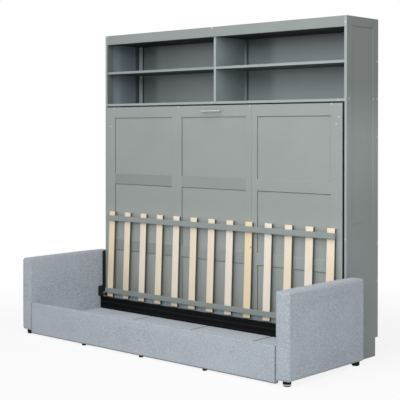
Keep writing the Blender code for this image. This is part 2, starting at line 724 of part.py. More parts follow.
def hinge_plates(parent, half, depth, low):
    """Plates on the ends of the lower rail, each with the pin that the back turns on."""
    reach = BACK_PIVOT_PIN + HINGE_PLATE_CORNER / 2
    outline = [(depth[0], -reach), (reach, -reach), (reach, low[1]), (depth[0], low[1])]
    for side, sign in sides():
        span = mirrored(sign, half + FIT, half + FIT + PLATE)
        plate = extruded_plate(f"back_hinge_plate_{side}", outline, HINGE_PLATE_CORNER, span, "black steel",
                               parent, (0.0, 0.0, 0.0))
        pin = bmesh.new()
        start = (sign * (half + FIT + PLATE / 2), 0.0, 0.0)
        end = (sign * (HALF_WIDTH + FIT + PLATE), 0.0, 0.0)
        add_rod(pin, BACK_PIVOT_PIN, start, end)
        combine(plate, helper(f"back_pin_{side}", pin, parent), "UNION")


def side_plates(parent):
    """Black steel plates between the arms and the cabinet, with a nose for the back's pin."""
    outline = [
        (BEAM_FRONT, SEAT_TOP),
        (STEM_BACK, SEAT_TOP),
        (STEM_BACK, PLATE_TOP),
        (STEM_FRONT, PLATE_TOP),
        (STEM_FRONT, NOSE_TOP),
        (NOSE_FRONT, NOSE_TOP),
        (NOSE_FRONT, NOSE_BOTTOM),
        (BEAM_FRONT, NOSE_BOTTOM),
    ]
    bore = (BACK_PIVOT_Y, BACK_PIVOT_Z, BACK_PIVOT_PIN + PIN_FIT)
    for side, sign in sides():
        span = mirrored(sign, HALF_WIDTH + FIT, HALF_WIDTH + FIT + PLATE)
        plate = extruded_plate(f"side_plate_{side}", outline, HINGE_PLATE_CORNER, span, "black steel", parent,
                               (0.0, 0.0, 0.0), [bore])
        for height in (BOLT_HEIGHT, LOWER_BOLT_HEIGHT):
            head = bmesh.new()
            root = (sign * (HALF_WIDTH + FIT + PLATE / 2), BOLT_Y, height)
            face = (sign * (HALF_WIDTH + FIT - BOLT_HEAD_HEIGHT), BOLT_Y, height)
            add_rod(head, BOLT_HEAD_RADIUS, root, face)
            combine(plate, helper(f"bolt_{side}_{height}", head, parent), "UNION")


def cross_beam(parent):
    """A black drawn beam across the piece: a ribbed front, a hollow and a lip that carries the seat boards."""
    low, high = SEAT_TOP + FIT, BEAM_TOP
    rib = (high - low) / (2 * BEAM_RIBS + 1)
    lip_top = SEAT_BOTTOM - FIT
    web_front = BEAM_FRONT + FIT
    outline = [(web_front, low), (web_front, lip_top), (web_front - BEAM_LIP, lip_top)]
    outline += [(web_front - BEAM_LIP, lip_top - BEAM_WALL), (web_front + BEAM_WALL, lip_top - BEAM_WALL)]
    outline += [(web_front + BEAM_WALL, low), (BEAM_BACK, low), (BEAM_BACK, high)]
    for number in range(2 * BEAM_RIBS + 1):
        face = BEAM_FRONT if number % 2 == 0 else BEAM_FRONT + BEAM_RIB_DEPTH
        outline.append((face, high - number * rib))
        outline.append((face, high - (number + 1) * rib))
    beam = extruded_plate("cross_beam", outline, 0.0, (-HALF_WIDTH, HALF_WIDTH), "black steel", parent,
                          (0.0, 0.0, 0.0))
    hollow = bmesh.new()
    reach = HALF_WIDTH + CUT_OVERRUN
    depth = (BEAM_FRONT + BEAM_RIB_DEPTH + BEAM_WALL, BEAM_BACK - BEAM_WALL)
    add_box(hollow, (-reach, reach), depth, (low + BEAM_WALL, high - BEAM_WALL))
    combine(beam, helper("beam_hollow", hollow, parent), "DIFFERENCE")


def sofa(parent):
    """Upholstered arms, rails and seat boards, on bearers and feet."""
    for side, sign in sides():
        span = mirrored(sign, ARM_INNER, ARM_OUTER)
        outside = (ARM_CROWN, 0.0) if sign < 0 else (0.0, ARM_CROWN)
        upholstered(f"arm_{side}", span, (ARM_FRONT, ARM_REAR), (ARM_BOTTOM, ARM_TOP), parent, ARM_EDGE,
                    (outside, (ARM_CROWN / 2, 0.0), (0.0, ARM_CROWN / 2)), (2, 6, 6))
    inner = ARM_INNER - FIT
    rail_height = (FRONT_RAIL_BOTTOM, FRONT_RAIL_TOP)
    rail_crown = (FLAT, (FRONT_RAIL_CROWN, 0.0), FLAT)
    rail = upholstered("front_rail", (-inner, inner), (ARM_FRONT, FRONT_RAIL_REAR), rail_height, parent,
                       FRONT_RAIL_EDGE, rail_crown, (10, 1, 4))
    for number in (-1, 0, 1):
        glide = bmesh.new()
        place = (number * RAIL_FOOT_SPACING_SHARE * CABINET_WIDTH, ARM_FRONT + FRONT_RAIL_THICKNESS / 2)
        add_turned(glide, place, foot_profile(RAIL_FOOT_RADIUS, FRONT_RAIL_BOTTOM + RAIL_FOOT_ROOT))
        combine(rail, helper(f"rail_glide_{number + 2}", glide, parent), "UNION")
    upholstered("rear_rail", (-HALF_WIDTH, HALF_WIDTH), (REAR_RAIL_FRONT, BEAM_BACK),
                (BEAM_TOP + FIT, BEAM_TOP + FIT + REAR_RAIL_HEIGHT), parent, REAR_RAIL_EDGE,
                (FLAT, (REAR_RAIL_CROWN, 0.0), FLAT), (8, 1, 2))

    width = 2 * inner / SEAT_BOARD_COUNT
    seat_back = BEAM_FRONT - FIT
    seat_front = FRONT_RAIL_REAR + FIT
    for number in range(SEAT_BOARD_COUNT):
        low = -inner + number * width + FIT / 2
        high = -inner + (number + 1) * width - FIT / 2
        upholstered(f"seat_board_{number + 1}", (low, high), (seat_front, seat_back),
                    (SEAT_BOTTOM, SEAT_TOP), parent, SEAT_EDGE, (FLAT, FLAT, (0.0, SEAT_CROWN)), (4, 4, 1))

    top = SEAT_BOTTOM - FIT
    board("seat_bearer", (-inner, inner), (seat_front, seat_front + BEARER_WIDTH),
          (top - BEARER_HEIGHT, top), "bed board", parent)


def feet(parent):
    """Round feet under the arms, each on a smaller ring."""
    x = ARM_INNER + ARM_THICKNESS / 2
    rows = (("front", ARM_FRONT + FOOT_FRONT_INSET), ("rear", ARM_REAR - FOOT_REAR_INSET))
    for side, sign in sides():
        for row, y in rows:
            shape = bmesh.new()
            add_turned(shape, (0.0, 0.0), foot_profile(FOOT_RADIUS, ARM_BOTTOM - FIT))
            make(f"arm_foot_{row}_{side}", shape, "black plastic", parent, (sign * x, y, 0.0),
                 smooth=math.radians(40))


def foot_profile(radius, height):
    """(radius, height) points of a foot, from the floor up."""
    ring = radius - FOOT_RADIUS + FOOT_RING_RADIUS
    return [
        (ring, 0.0),
        (ring, FOOT_RING_HEIGHT - ARRIS),
        (radius, FOOT_RING_HEIGHT),
        (radius, height - ARRIS),
        (radius - ARRIS, height),
    ]


def add_turned(shape, place, profile):
    """Adds a solid of revolution about the vertical through a place on the floor."""
    rings = []
    for radius, height in profile:
        ring = []
        for number in range(ROUND_SIDES):
            angle = 2 * math.pi * number / ROUND_SIDES
            x = place[0] + radius * math.cos(angle)
            y = place[1] + radius * math.sin(angle)
            ring.append(shape.verts.new((x, y, height)))
        rings.append(ring)
    for low, high in zip(rings, rings[1:]):
        for number in range(ROUND_SIDES):
            following = (number + 1) % ROUND_SIDES
            shape.faces.new((low[number], low[following], high[following], high[number]))
    shape.faces.new(rings[0][::-1])
    shape.faces.new(rings[-1])


def main():
    clear_scene()
    cabinet = axis_empty("cabinet_front", (0.0, WORLD_BACK, 0.0))
    side_panels(cabinet)
    carcass(cabinet)
    pivot_plates(cabinet)
    side_plates(cabinet)
    cross_beam(cabinet)
    sofa(cabinet)
    feet(cabinet)

    bed = axis_empty("bed_axis", (0.0, PIVOT_Y, PIVOT_Z), cabinet)
    door_boards(bed)
    door_handle(bed)
    bed_frame(bed)
    pivot_brackets(bed)

    back = axis_empty("back_axis", (0.0, BACK_PIVOT_Y, BACK_PIVOT_Z), cabinet, -BACK_LEAN)
    slatted_back(back)

    anchor, _, tilt = strut_line()
    gas_struts(axis_empty("strut_axis", anchor, cabinet, tilt))


main()
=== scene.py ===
# %% [markdown]
# A wall bed with a sofa in front of it, dressed for its picture.
#
# The solids of the bed, with their joints, come from the packed model, and they stay where they are. This lesson
# gives each of them a finish, and puts a softer skin over those that are padded. Two other ways were possible: to
# model the whole bed again in Blender, which would drift from the solids, or to paint the solids alone, which
# would leave the padding looking like wood. Dressing the solids keeps every size true and still looks soft.

# %% The frame
import math

import bmesh
import bpy
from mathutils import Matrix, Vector, noise


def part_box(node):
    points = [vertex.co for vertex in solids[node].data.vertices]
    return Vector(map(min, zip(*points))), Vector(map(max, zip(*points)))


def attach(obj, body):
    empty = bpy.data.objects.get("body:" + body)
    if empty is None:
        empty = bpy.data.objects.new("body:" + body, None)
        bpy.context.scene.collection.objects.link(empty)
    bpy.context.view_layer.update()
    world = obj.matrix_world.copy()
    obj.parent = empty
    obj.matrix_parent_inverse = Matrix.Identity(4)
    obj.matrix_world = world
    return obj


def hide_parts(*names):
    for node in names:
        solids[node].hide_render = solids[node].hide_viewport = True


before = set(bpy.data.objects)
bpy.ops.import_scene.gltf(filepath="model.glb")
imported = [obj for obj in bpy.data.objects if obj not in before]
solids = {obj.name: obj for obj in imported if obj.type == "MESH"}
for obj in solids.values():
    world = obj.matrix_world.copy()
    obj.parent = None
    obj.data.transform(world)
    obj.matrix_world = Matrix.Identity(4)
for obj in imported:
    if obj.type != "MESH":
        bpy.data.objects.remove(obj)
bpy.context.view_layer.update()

# %% [markdown]
# The camera. The picture was taken from the front right with a long lens, held level at about chest height, and
# the top of the cabinet lies above the middle of the lens. A tilted camera would make the uprights lean together.
# A level one with the lens shifted keeps them upright, so the camera tilts by half a degree only and the rest of
# the framing is shift.

# %% The camera
CAMERA_PLACE = (4.7367, -5.2029, 1.4631)
CAMERA_TURN = (math.pi / 2 - 0.01, 0.0, 0.7347)
LENS = 93.17
SHIFT_DOWN = -0.15

lens = bpy.data.cameras.new("camera")
lens.lens = LENS
lens.shift_y = SHIFT_DOWN
camera = bpy.data.objects.new("camera", lens)
camera.location = CAMERA_PLACE
camera.rotation_euler = CAMERA_TURN
bpy.context.scene.collection.objects.link(camera)
bpy.context.scene.camera = camera
bpy.context.scene.view_settings.view_transform = "Standard"
print("camera is", round(camera.location.length, 2), "m from the middle of the bed")

# %% [markdown]
# Shader maths. A finish is a web of small nodes, and writing each one out hides the idea behind it. Here one
# small class stands for the output of a node, and the usual signs work on it: numbers go through Math nodes,
# directions through Vector Math and colours through Mix, because a Math node would turn a colour grey.

# %% A wire that can be added and multiplied
SIGNS = {"+": "ADD", "-": "SUBTRACT", "*": "MULTIPLY", "/": "DIVIDE"}


class Wire:
    """The output of a node in one web."""

    def __init__(self, web, socket):
        self.web = web
        self.socket = socket

    def joined(self, sign, first, second):
        kinds = {side.socket.type for side in (first, second) if isinstance(side, Wire)}
        if "RGBA" in kinds:
            settings = {"data_type": "RGBA", "blend_type": SIGNS[sign]}
            return self.web.add("Mix", settings, {"Factor": 1.0, "A": first, "B": second})
        kind = "VectorMath" if "VECTOR" in kinds else "Math"
        return self.web.add(kind, {"operation": SIGNS[sign]}, {0: first, 1: second})

    def __add__(self, other):
        return self.joined("+", self, other)

    def __radd__(self, other):
        return self.joined("+", other, self)

    def __sub__(self, other):
        return self.joined("-", self, other)

    def __rsub__(self, other):
        return self.joined("-", other, self)

    def __mul__(self, other):
        return self.joined("*", self, other)

    def __rmul__(self, other):
        return self.joined("*", other, self)

    def __truediv__(self, other):
        return self.joined("/", self, other)

    def __rtruediv__(self, other):
        return self.joined("/", other, self)

    def worked(self, operation, other=0.0):
        """A Math node of another kind, such as SINE or MINIMUM."""
        return self.web.add("Math", {"operation": operation}, {0: self, 1: other})

    def spread(self, low, high, new_low=0.0, new_high=1.0):
        """Values from low to high become new_low to new_high, and none goes past them."""
        values = {"Value": self, "From Min": low, "From Max": high, "To Min": new_low, "To Max": new_high}
        return self.web.add("MapRange", {}, values)

    def parts(self):
        """The three numbers of a direction or place."""
        node = self.web.add("SeparateXYZ", {}, {0: self}).socket.node
        return [Wire(self.web, socket) for socket in node.outputs]


print("signs that a wire knows:", " ".join(SIGNS))

# %% [markdown]
# The web itself. Its method add makes any node: it takes the node's type, then its settings, then the values or
# wires of its sockets. The settings go first because a Mix or Math node shows other sockets after they change.


# %% A web of nodes
class Web:
    """The nodes of a material or of the world."""

    def __init__(self, tree):
        self.tree = tree

    def find(self, sockets, name):
        if isinstance(name, int):
            return sockets[name]
        return [socket for socket in sockets if socket.name == name and socket.enabled][0]

    def fill(self, socket, value):
        if isinstance(value, Wire):
            self.tree.links.new(value.socket, socket)
        elif socket.type == "RGBA" and not hasattr(value, "__len__"):
            socket.default_value = (value, value, value, 1.0)
        elif socket.type == "VECTOR" and not hasattr(value, "__len__"):
            socket.default_value = (value, value, value)
        else:
            socket.default_value = value

    def add(self, kind, settings, values, out=None):
        node = self.tree.nodes.new("ShaderNode" + kind)
        for name, value in settings.items():
            setattr(node, name, value)
        for name, value in values.items():
            self.fill(self.find(node.inputs, name), value)
        if out is None:
            return Wire(self, [socket for socket in node.outputs if socket.enabled][0])
        return Wire(self, self.find(node.outputs, out))


print("a web's methods:", ", ".join(name for name in vars(Web) if not name.startswith("_")))

# %% [markdown]
# A finish. Each material starts from the same shader, so one class makes it and fills its sockets. Places are in
# metres on the object itself, so a grain of 2 mm is 2 mm on every piece and stays with it when it turns.


# %% The finish
def paint_colour(red, green, blue):
    """A colour as it is seen on a screen, from 0 to 255, in the light values that a shader works in."""
    shares = [channel / 255 for channel in (red, green, blue)]
    linear = [share / 12.92 if share <= 0.04045 else ((share + 0.055) / 1.055) ** 2.4 for share in shares]
    return (*linear, 1.0)


def lighter(colour, share):
    """The same colour, made lighter by a share, or darker where the share is below 0."""
    return (*[channel * (1 + share) for channel in colour[:3]], 1.0)


class Finish(Web):
    """A material with one Principled shader, filled by name."""

    def __init__(self, name):
        self.material = bpy.data.materials.new(name)
        self.material.use_nodes = True
        super().__init__(self.material.node_tree)
        self.shader = self.tree.nodes["Principled BSDF"]
        self.place = self.add("TexCoord", {}, {}, "Object")

    def speckle(self, size, detail=2.0, roughness=0.5, stretch=(1.0, 1.0, 1.0)):
        """Soft noise around 0.5 whose blots are about size metres across, longer where stretch is below 1."""
        where = self.place * stretch
        values = {"Vector": where, "Scale": 1 / size, "Detail": detail, "Roughness": roughness}
        return self.add("TexNoise", {}, values, "Factor" if bpy.app.version >= (5, 0, 0) else "Fac")

    def blend(self, first, second, share):
        return self.add("Mix", {"data_type": "RGBA"}, {"Factor": share, "A": first, "B": second})

    def bumped(self, height, depth):
        """The relief of a surface: height from 0 to 1, and depth in metres."""
        return self.add("Bump", {}, {"Height": height, "Distance": depth, "Strength": 1.0})

    def filled(self, **values):
        for name, value in values.items():
            self.fill(self.find(self.shader.inputs, name.replace("_", " ").title().replace("Ior", "IOR")), value)
        return self.material


print("a grey of 128 is", round(paint_colour(128, 128, 128)[0], 3), "in light values")

# %% [markdown]
# Worn and lit edges. Paint is thinnest and hands rub most along the edges of a board, and there the paint is
# also made lighter, a painted highlight. The edge could be found from the mesh's own sharpness, but a board has
# only a few corner points, so that would smear over its whole face. Every board here is close to a box, so the
# distance to its edge is worked out from the place on the board: it is the middle one of the three distances to
# the box's faces.


# %% How far a place is from a board's edge
def edge_distance(finish, low, high):
    """Metres from the nearest edge of a box, on the box's surface."""
    middle = (low + high) / 2
    half = (high - low) / 2
    across, along, up = [
        half[axis] - (part - middle[axis]).worked("ABSOLUTE")
        for axis, part in enumerate(finish.place.parts())
    ]
    smaller = across.worked("MINIMUM", along)
    larger = across.worked("MAXIMUM", along)
    return smaller.worked("MAXIMUM", larger.worked("MINIMUM", up))


# %% [markdown]
# A thin dark line of painted shade runs round each routed recess, where shade falls in its corners, strongest
# along the top and the left. It could be a strip of mesh, but it has no thickness, so it is part of the paint. A
# recess is described by its two spans, and the three recesses of a door board are one that repeats upwards, so
# one piece of maths serves all three.

# %% Painted shade round a recess
ACROSS, ALONG, UP = 0, 1, 2
PAINTED_SHADE_LINE, PAINTED_SHADE_HALF = 0.0022, 0.0024
GROOVE_START, GROOVE_END = 0.0030, 0.0045
STEP = 0.001


def recess_marks(finish, axis, across, rows, count, rail, shares):
    """Three masks: the line of painted shade, the flat inside of the recess, and the rails between two recesses.

    across and rows are the spans of the lowest recess, count is how many stand above one another, rail is the
    height between two of them, and shares are how dark the painted shade is on the low and the high side, the
    bottom and the top.
    """
    parts = finish.place.parts()
    (low, high), (bottom, top) = across, rows
    pitch = top - bottom + rail
    start = bottom - rail / 2
    last_top = bottom + count * pitch - rail
    folded = parts[UP].worked("MINIMUM", start + count * pitch) - start
    if count > 1:
        folded = folded.worked("MODULO", pitch)
    height = folded - pitch / 2
    side = parts[axis] - (low + high) / 2
    past_side = side.worked("ABSOLUTE") - (high - low) / 2
    past_end = height.worked("ABSOLUTE") - (top - bottom) / 2
    past = past_side.worked("MAXIMUM", past_end)
    line = (past + PAINTED_SHADE_LINE).worked("ABSOLUTE").spread(PAINTED_SHADE_LINE / 3, PAINTED_SHADE_HALF, 1.0, 0.0)
    upright = side.spread(-STEP, STEP, shares[0], shares[1])
    level = height.spread(-STEP, STEP, shares[2], shares[3])
    turn = (past_end - past_side).spread(-STEP / 2, STEP / 2)
    painted_shade = line * (upright + (level - upright) * turn)
    inside = past.spread(-GROOVE_END, -GROOVE_START, 1.0, 0.0)
    between = past_end.spread(0.0, STEP) * past_side.spread(-STEP, 0.0, 1.0, 0.0)
    between = between * parts[UP].spread(last_top - STEP, last_top, 1.0, 0.0)
    return painted_shade, inside, between


print("width of the dusty line in mm:", 2000 * PAINTED_SHADE_HALF)

# %% [markdown]
# The cabinet's paint is a satin grey with a little green in it, sprayed on smooth boards. Up close it has a fine
# orange peel, a slow drift of tone across each board, and edges that are rubbed and painted a little lighter, a
# painted highlight. Every board gets a finish of its own, because the distance to its edge depends on its own
# size.
#
# Marks of painted light and shade lie on top of that. The door's outer edges carry a black band of painted shade,
# and with the painted dark corner of the side panel next to it the gap round the door reads as a black line. Front
# edges are painted pale, a painted highlight, and undersides are painted dark, a painted shade. Each mark is a
# layer: a mask says where it lies, and it is blended over the tone so far.

# %% Satin paint
# A near black for painted shade: round the door, beside the battens, in the side panel's corner and under boards.
PAINTED_SHADE_BLACK = paint_colour(24, 26, 27)
PAINTED_HIGHLIGHT_PALE = paint_colour(168, 180, 182)
PAINTED_SHADE_BLUE = paint_colour(126, 140, 151)
DRIFT_SIZE, DUST_SIZE, RUB_SIZE, PEEL_SIZE = 0.35, 0.004, 0.03, 0.0011
PEEL_DEPTH = 0.00002
RUBBED_AND_LIT_EDGE = 0.0022
BAND_START, BAND_END = 0.0010, 0.0022
SKIN_START, FRONT_END, UNDER_END = 0.0006, 0.0014, 0.0012
CORNER_SHADE_START, CORNER_SHADE_END = 0.0020, 0.0028
WELL_FRONT, WELL_REAR = 0.06, 0.30
DECK_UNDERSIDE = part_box("deck_shelf")[0].z
SHINE, UNDERSIDE_SHINE = 0.5, 0.03


def satin_paint(name, colour, low, high, banded=(), recess=None, rail_shade=0.0, well=0.0, under=0.0, light_and_shade=(),
                facing=None, pale_front=0.0, joint=0.0):
    """The paint of one board.

    banded holds an axis and a place for each black band of painted shade, and recess describes the recesses.
    rail_shade is how dark the rails between them are painted, a painted shade, well how blue their insides are
    painted above the deck, a painted shade with reflected blue, and under how dark the underside is painted, a
    painted shade. light_and_shade holds slow changes of tone painted for light and shade: an axis, where each
    starts and is full, and how much lighter it gets. facing, an axis, a place and a sign, keeps bands, well and
    painted light and shade to one side of the board. pale_front is how pale the narrow front edge is painted, a
    painted highlight, and joint how high the painted shade runs up its inner corner.
    """
    finish = Finish(name)
    across, along, up = parts = finish.place.parts()
    drift = finish.speckle(DRIFT_SIZE, 2.0)
    dust = finish.speckle(DUST_SIZE, 3.0, 0.7)
    edge = edge_distance(finish, low, high).spread(0.0, RUBBED_AND_LIT_EDGE, 1.0, 0.0)
    rubbed_and_lit = edge * finish.speckle(RUB_SIZE, 3.0).spread(0.35, 0.6)
    tone = finish.blend(lighter(colour, -0.045), lighter(colour, 0.045), drift.spread(0.3, 0.7))
    tone = finish.blend(tone, lighter(colour, -0.12), dust.spread(0.62, 0.8, 0.0, 0.35))
    # The rubbed edges are painted lighter too: partly wear, partly a painted highlight.
    tone = finish.blend(tone, lighter(colour, 0.55), rubbed_and_lit * 0.5)
    shown = 1.0
    if facing:
        axis, place, sign = facing
        shown = ((parts[axis] - place) * sign).spread(-STEP, STEP)
    # Painted light and shade: slow changes of tone, darker where a board lies in shade, lighter where light falls.
    for axis, start, full, change in light_and_shade:
        tone = finish.blend(tone, lighter(colour, change), parts[axis].spread(start, full) * shown)
    front = along.spread(low.y + SKIN_START, low.y + FRONT_END, 1.0, 0.0)
    # Painted highlight: the narrow front edge is painted pale.
    if pale_front:
        tone = finish.blend(tone, PAINTED_HIGHLIGHT_PALE, front * pale_front)
    # Painted shade: a dark strip on the front face's inner corner, below the deck, for the shade beside the door.
    if joint:
        corner = front * across.spread(low.x + CORNER_SHADE_START, low.x + CORNER_SHADE_END, 1.0, 0.0)
        tone = finish.blend(tone, PAINTED_SHADE_BLACK, corner * up.spread(joint - 2 * STEP, joint, 1.0, 0.0))
    dull = 0.0
    # Each band is painted shade: a black line where shade falls in a gap or beside a batten.
    for axis, place in banded:
        band = (parts[axis] - place).worked("ABSOLUTE").spread(BAND_START, BAND_END, 1.0, 0.0) * shown
        tone = finish.blend(tone, PAINTED_SHADE_BLACK, band)
        dull = dull + band * 0.4
    if recess:
        painted_shade, inside, between = recess_marks(finish, *recess)
        # Painted shade and reflected blue: the recess is painted blue, darker at the front, lighter at the back.
        if well:
            deep = along.spread(WELL_FRONT, WELL_REAR)
            blue = finish.blend(lighter(PAINTED_SHADE_BLUE, -0.2), lighter(PAINTED_SHADE_BLUE, 0.15), deep)
            above_deck = up.spread(DECK_UNDERSIDE - STEP, DECK_UNDERSIDE)
            tone = finish.blend(tone, blue, inside * above_deck * well * shown)
        # Painted shade: the rails between the recesses are painted darker.
        if rail_shade:
            tone = finish.blend(tone, lighter(colour, -0.5), between * rail_shade)
        # Painted shade: a dark line round each recess, darkest along the top and the left.
        tone = finish.blend(tone, lighter(colour, -0.75), painted_shade)
    # Painted shade: the underside is painted dark.
    if under:
        tone = finish.blend(tone, PAINTED_SHADE_BLACK, up.spread(low.z + SKIN_START, low.z + UNDER_END, under, 0.0))
    peel = finish.speckle(PEEL_SIZE, 2.0)
    return finish.filled(
        base_color=tone,
        roughness=0.42 + drift * 0.1 + rubbed_and_lit * 0.1 + dull,
        specular_ior_level=SHINE if under < 0.5 else UNDERSIDE_SHINE,
        normal=finish.bumped(peel, PEEL_DEPTH),
    )


print("the paint's humps are", 1000 * PEEL_SIZE, "mm apart")

# %% [markdown]
# The boards aren't all alike: the left side and the corners behind the shelves lie in the shade, and the left
# recess picks up blue from the cloth. The lamps give most of this. The rest is painted light and shade, written
# down here board by board, because a lamp that darkened one board would darken its neighbours too.

# %% Painted light and shade of the boards
CABINET_GREY = paint_colour(147, 155, 153)
# Lit and shaded copies of the cabinet grey, painted light and shade: sides lighter, fascia and divider darker.
LIT_SIDE_GREY = lighter(CABINET_GREY, 0.09)
BACK_GREY = paint_colour(156, 168, 172)
LIT_AND_SHADED_GREYS = {
    "side_panel_left": LIT_SIDE_GREY, "side_panel_right": LIT_SIDE_GREY, "top_fascia": lighter(CABINET_GREY, -0.12),
    "back_panel": BACK_GREY, "shelf_divider": lighter(BACK_GREY, -0.2),
}
left_low, left_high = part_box("side_panel_left")
# Slow changes of tone that are painted light and shade, board by board.
PAINTED_LIGHT_SHADES = {
    "side_panel_right": [(UP, 1.45, 1.75, -0.36), (UP, 1.25, 0.95, -0.12)],
    "side_panel_left": [
        (ALONG, left_low.y + 0.001, left_low.y + 0.004, -0.55), (ALONG, 0.284, 0.290, 0.3),
        (ALONG, 0.322, 0.332, -0.6),
    ],
    "back_panel": [
        (ACROSS, 0.1, -1.0, -0.28), (UP, 2.03, 2.12, -0.55), (ACROSS, -1.018, -1.026, 0.5),
        (ACROSS, -1.0605, -1.0635, -0.75),
    ],
}
FACINGS = {
    "side_panel_left": (ACROSS, (left_low.x + left_high.x) / 2, 1),
    "back_panel": (ALONG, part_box("back_panel")[1].y - 0.002, -1),
}
# Dark lines of painted shade beside the back panel's battens.
BATTEN_SHADE_LINES = {"back_panel": [(ACROSS, -1.0255), (ACROSS, 0.029)]}
# How dark each board's underside is painted, a painted shade.
PAINTED_SHADE_UNDERSIDES = {"top_panel": 0.93, "shelf_left": 0.8, "shelf_right": 0.7, "deck_shelf": 0.45}
# How pale each board's front edge is painted, a painted highlight.
PAINTED_HIGHLIGHT_FRONTS = {
    "side_panel_left": 0.3, "side_panel_right": 0.7, "deck_shelf": 0.5, "shelf_left": 0.35, "shelf_right": 0.7,
    "shelf_divider": 0.7,
}
# How strongly the left recess is painted blue, a painted shade with blue reflected from the cloth.
PAINTED_BLUE_WELLS = {"side_panel_left": 0.9}
# How high the painted shade beside the door runs up the side panel's corner.
PAINTED_CORNER_SHADES = {"side_panel_right": DECK_UNDERSIDE}
print("boards with a grey of their own:", len(LIT_AND_SHADED_GREYS))

# %% [markdown]
# The painted boards are the cabinet's, and the two flat bars of the slatted back have the same paint. A side panel
# is framed: four pieces stand round one long recess, which starts near the arm of the sofa.

# %% Painted boards
PAINTED = [
    "side_panel_left", "side_panel_right", "top_fascia", "top_panel", "deck_shelf", "back_panel", "wall_rail",
    "shelf_left", "shelf_right", "shelf_divider", "back_lower_rail", "back_top_rail",
]
FRONT_STILE, REAR_STILE, TOP_RAIL = 0.061, 0.060, 0.060
SIDE_RECESS_FOOT = 0.866
SIDE_GROOVE_SHADES = (0.35, 0.3, 0.1, 0.5)
side_low, side_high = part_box("side_panel_right")
side_across = (side_low.y + FRONT_STILE, side_high.y - REAR_STILE)
side_rows = (SIDE_RECESS_FOOT, side_high.z - TOP_RAIL)


def dress(node, material):
    """Gives a solid its finish."""
    slots = solids[node].data.materials
    slots.clear()
    slots.append(material)


for node in PAINTED:
    paint = satin_paint(
        "paint_" + node, LIT_AND_SHADED_GREYS.get(node, CABINET_GREY), *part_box(node),
        banded=BATTEN_SHADE_LINES.get(node, ()),
        recess=(ALONG, side_across, side_rows, 1, 0.0, SIDE_GROOVE_SHADES) if node.startswith("side_panel") else None,
        well=PAINTED_BLUE_WELLS.get(node, 0.0),
        under=PAINTED_SHADE_UNDERSIDES.get(node, 0.0),
        light_and_shade=PAINTED_LIGHT_SHADES.get(node, ()),
        facing=FACINGS.get(node),
        pale_front=PAINTED_HIGHLIGHT_FRONTS.get(node, 0.0),
        joint=PAINTED_CORNER_SHADES.get(node, 0.0),
    )
    dress(node, paint)
print("painted pieces:", len(PAINTED))

# %% [markdown]
# The door is the underside of the bed. Its three boards meet in the middle of the two inner stiles, and each has
# three recesses above one another. The stiles and rails have their sizes, and the recesses share what is left.

# %% The door
DOOR_BOARDS = ["door_board_left", "door_board_centre", "door_board_right"]
DOOR_GREY = paint_colour(152, 158, 156)
DOOR_STILE, DOOR_MIDDLE_STILE = 0.0895, 0.096
DOOR_RAIL, DOOR_MIDDLE_RAIL = 0.080, 0.0775
DOOR_ROWS = 3
DOOR_GROOVE_SHADES = (0.95, 0.6, 0.12, 0.85)
# How dark each door board's middle rails are painted, a painted shade that grows towards the left.
RAIL_SHADES = (0.35, 0.2, 0.0)
# Painted light: the door is painted lighter below the slats' tops, against their shadow.
DOOR_PAINTED_LIGHT = [(UP, 1.4, 1.1, 0.04), (UP, 0.95, 0.75, 0.24)]
door_low, door_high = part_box("door_board_left")[0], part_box("door_board_right")[1]
gaps_across = 2 * DOOR_STILE + (len(DOOR_BOARDS) - 1) * DOOR_MIDDLE_STILE
gaps_up = 2 * DOOR_RAIL + (DOOR_ROWS - 1) * DOOR_MIDDLE_RAIL
column = (door_high.x - door_low.x - gaps_across) / len(DOOR_BOARDS)
row = (door_high.z - door_low.z - gaps_up) / DOOR_ROWS

for number, (node, rail_shade) in enumerate(zip(DOOR_BOARDS, RAIL_SHADES)):
    start = door_low.x + DOOR_STILE + number * (column + DOOR_MIDDLE_STILE)
    bottom = door_low.z + DOOR_RAIL
    recess = (ACROSS, (start, start + column), (bottom, bottom + row), DOOR_ROWS, DOOR_MIDDLE_RAIL, DOOR_GROOVE_SHADES)
    # Black bands of painted shade along the door's outer faces, for the gap round the door.
    faces = [(ACROSS, door_low.x), (ACROSS, door_high.x), (UP, door_low.z), (UP, door_high.z)]
    paint = satin_paint(
        "paint_" + node, DOOR_GREY, *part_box(node),
        banded=faces, recess=recess, rail_shade=rail_shade, light_and_shade=DOOR_PAINTED_LIGHT,
    )
    dress(node, paint)
print("recesses:", DOOR_ROWS * len(DOOR_BOARDS), "of", round(1000 * column), "by", round(1000 * row), "mm")

# %% [markdown]
# The slats are sawn from light softwood and left bare. Their grain runs along them, each slat came from another
# part of the plank, so some are creamy and some are honey coloured, and here and there is a knot. A picture of
# wood would repeat from slat to slat. Noise that is stretched along the slat gives each one its own grain. The
# narrow sides are painted nearly black, a painted shade, and the lower ends below the rail are golden and
# painted lighter, partly painted light against the rail's shade.

# %% Bare wood
PALE_WOOD = paint_colour(255, 246, 234)
HONEY_WOOD = paint_colour(255, 229, 184)
KNOT_BROWN = paint_colour(160, 112, 72)
PAINTED_SHADE_SIDE = paint_colour(10, 9, 7)
LIT_END_GOLD = paint_colour(255, 230, 172)
GRAIN_LINE, GRAIN_BAND, PLANK_DRIFT = 0.006, 0.022, 0.12
GRAIN_DEPTH = 0.0002
KNOT_STRETCH, KNOT_SCALE = (1.0, 1.0, 0.6), 11.0
KNOT_CORE, KNOT_RIM = 0.045, 0.075
WOOD_EDGE = 0.0025
END_STEP = 0.004
RIGHT_SHADE_START, RIGHT_SHADE_FULL = 0.0042, 0.0032
LEFT_SHADE_START, LEFT_SHADE_FULL = 0.0008, 0.0004


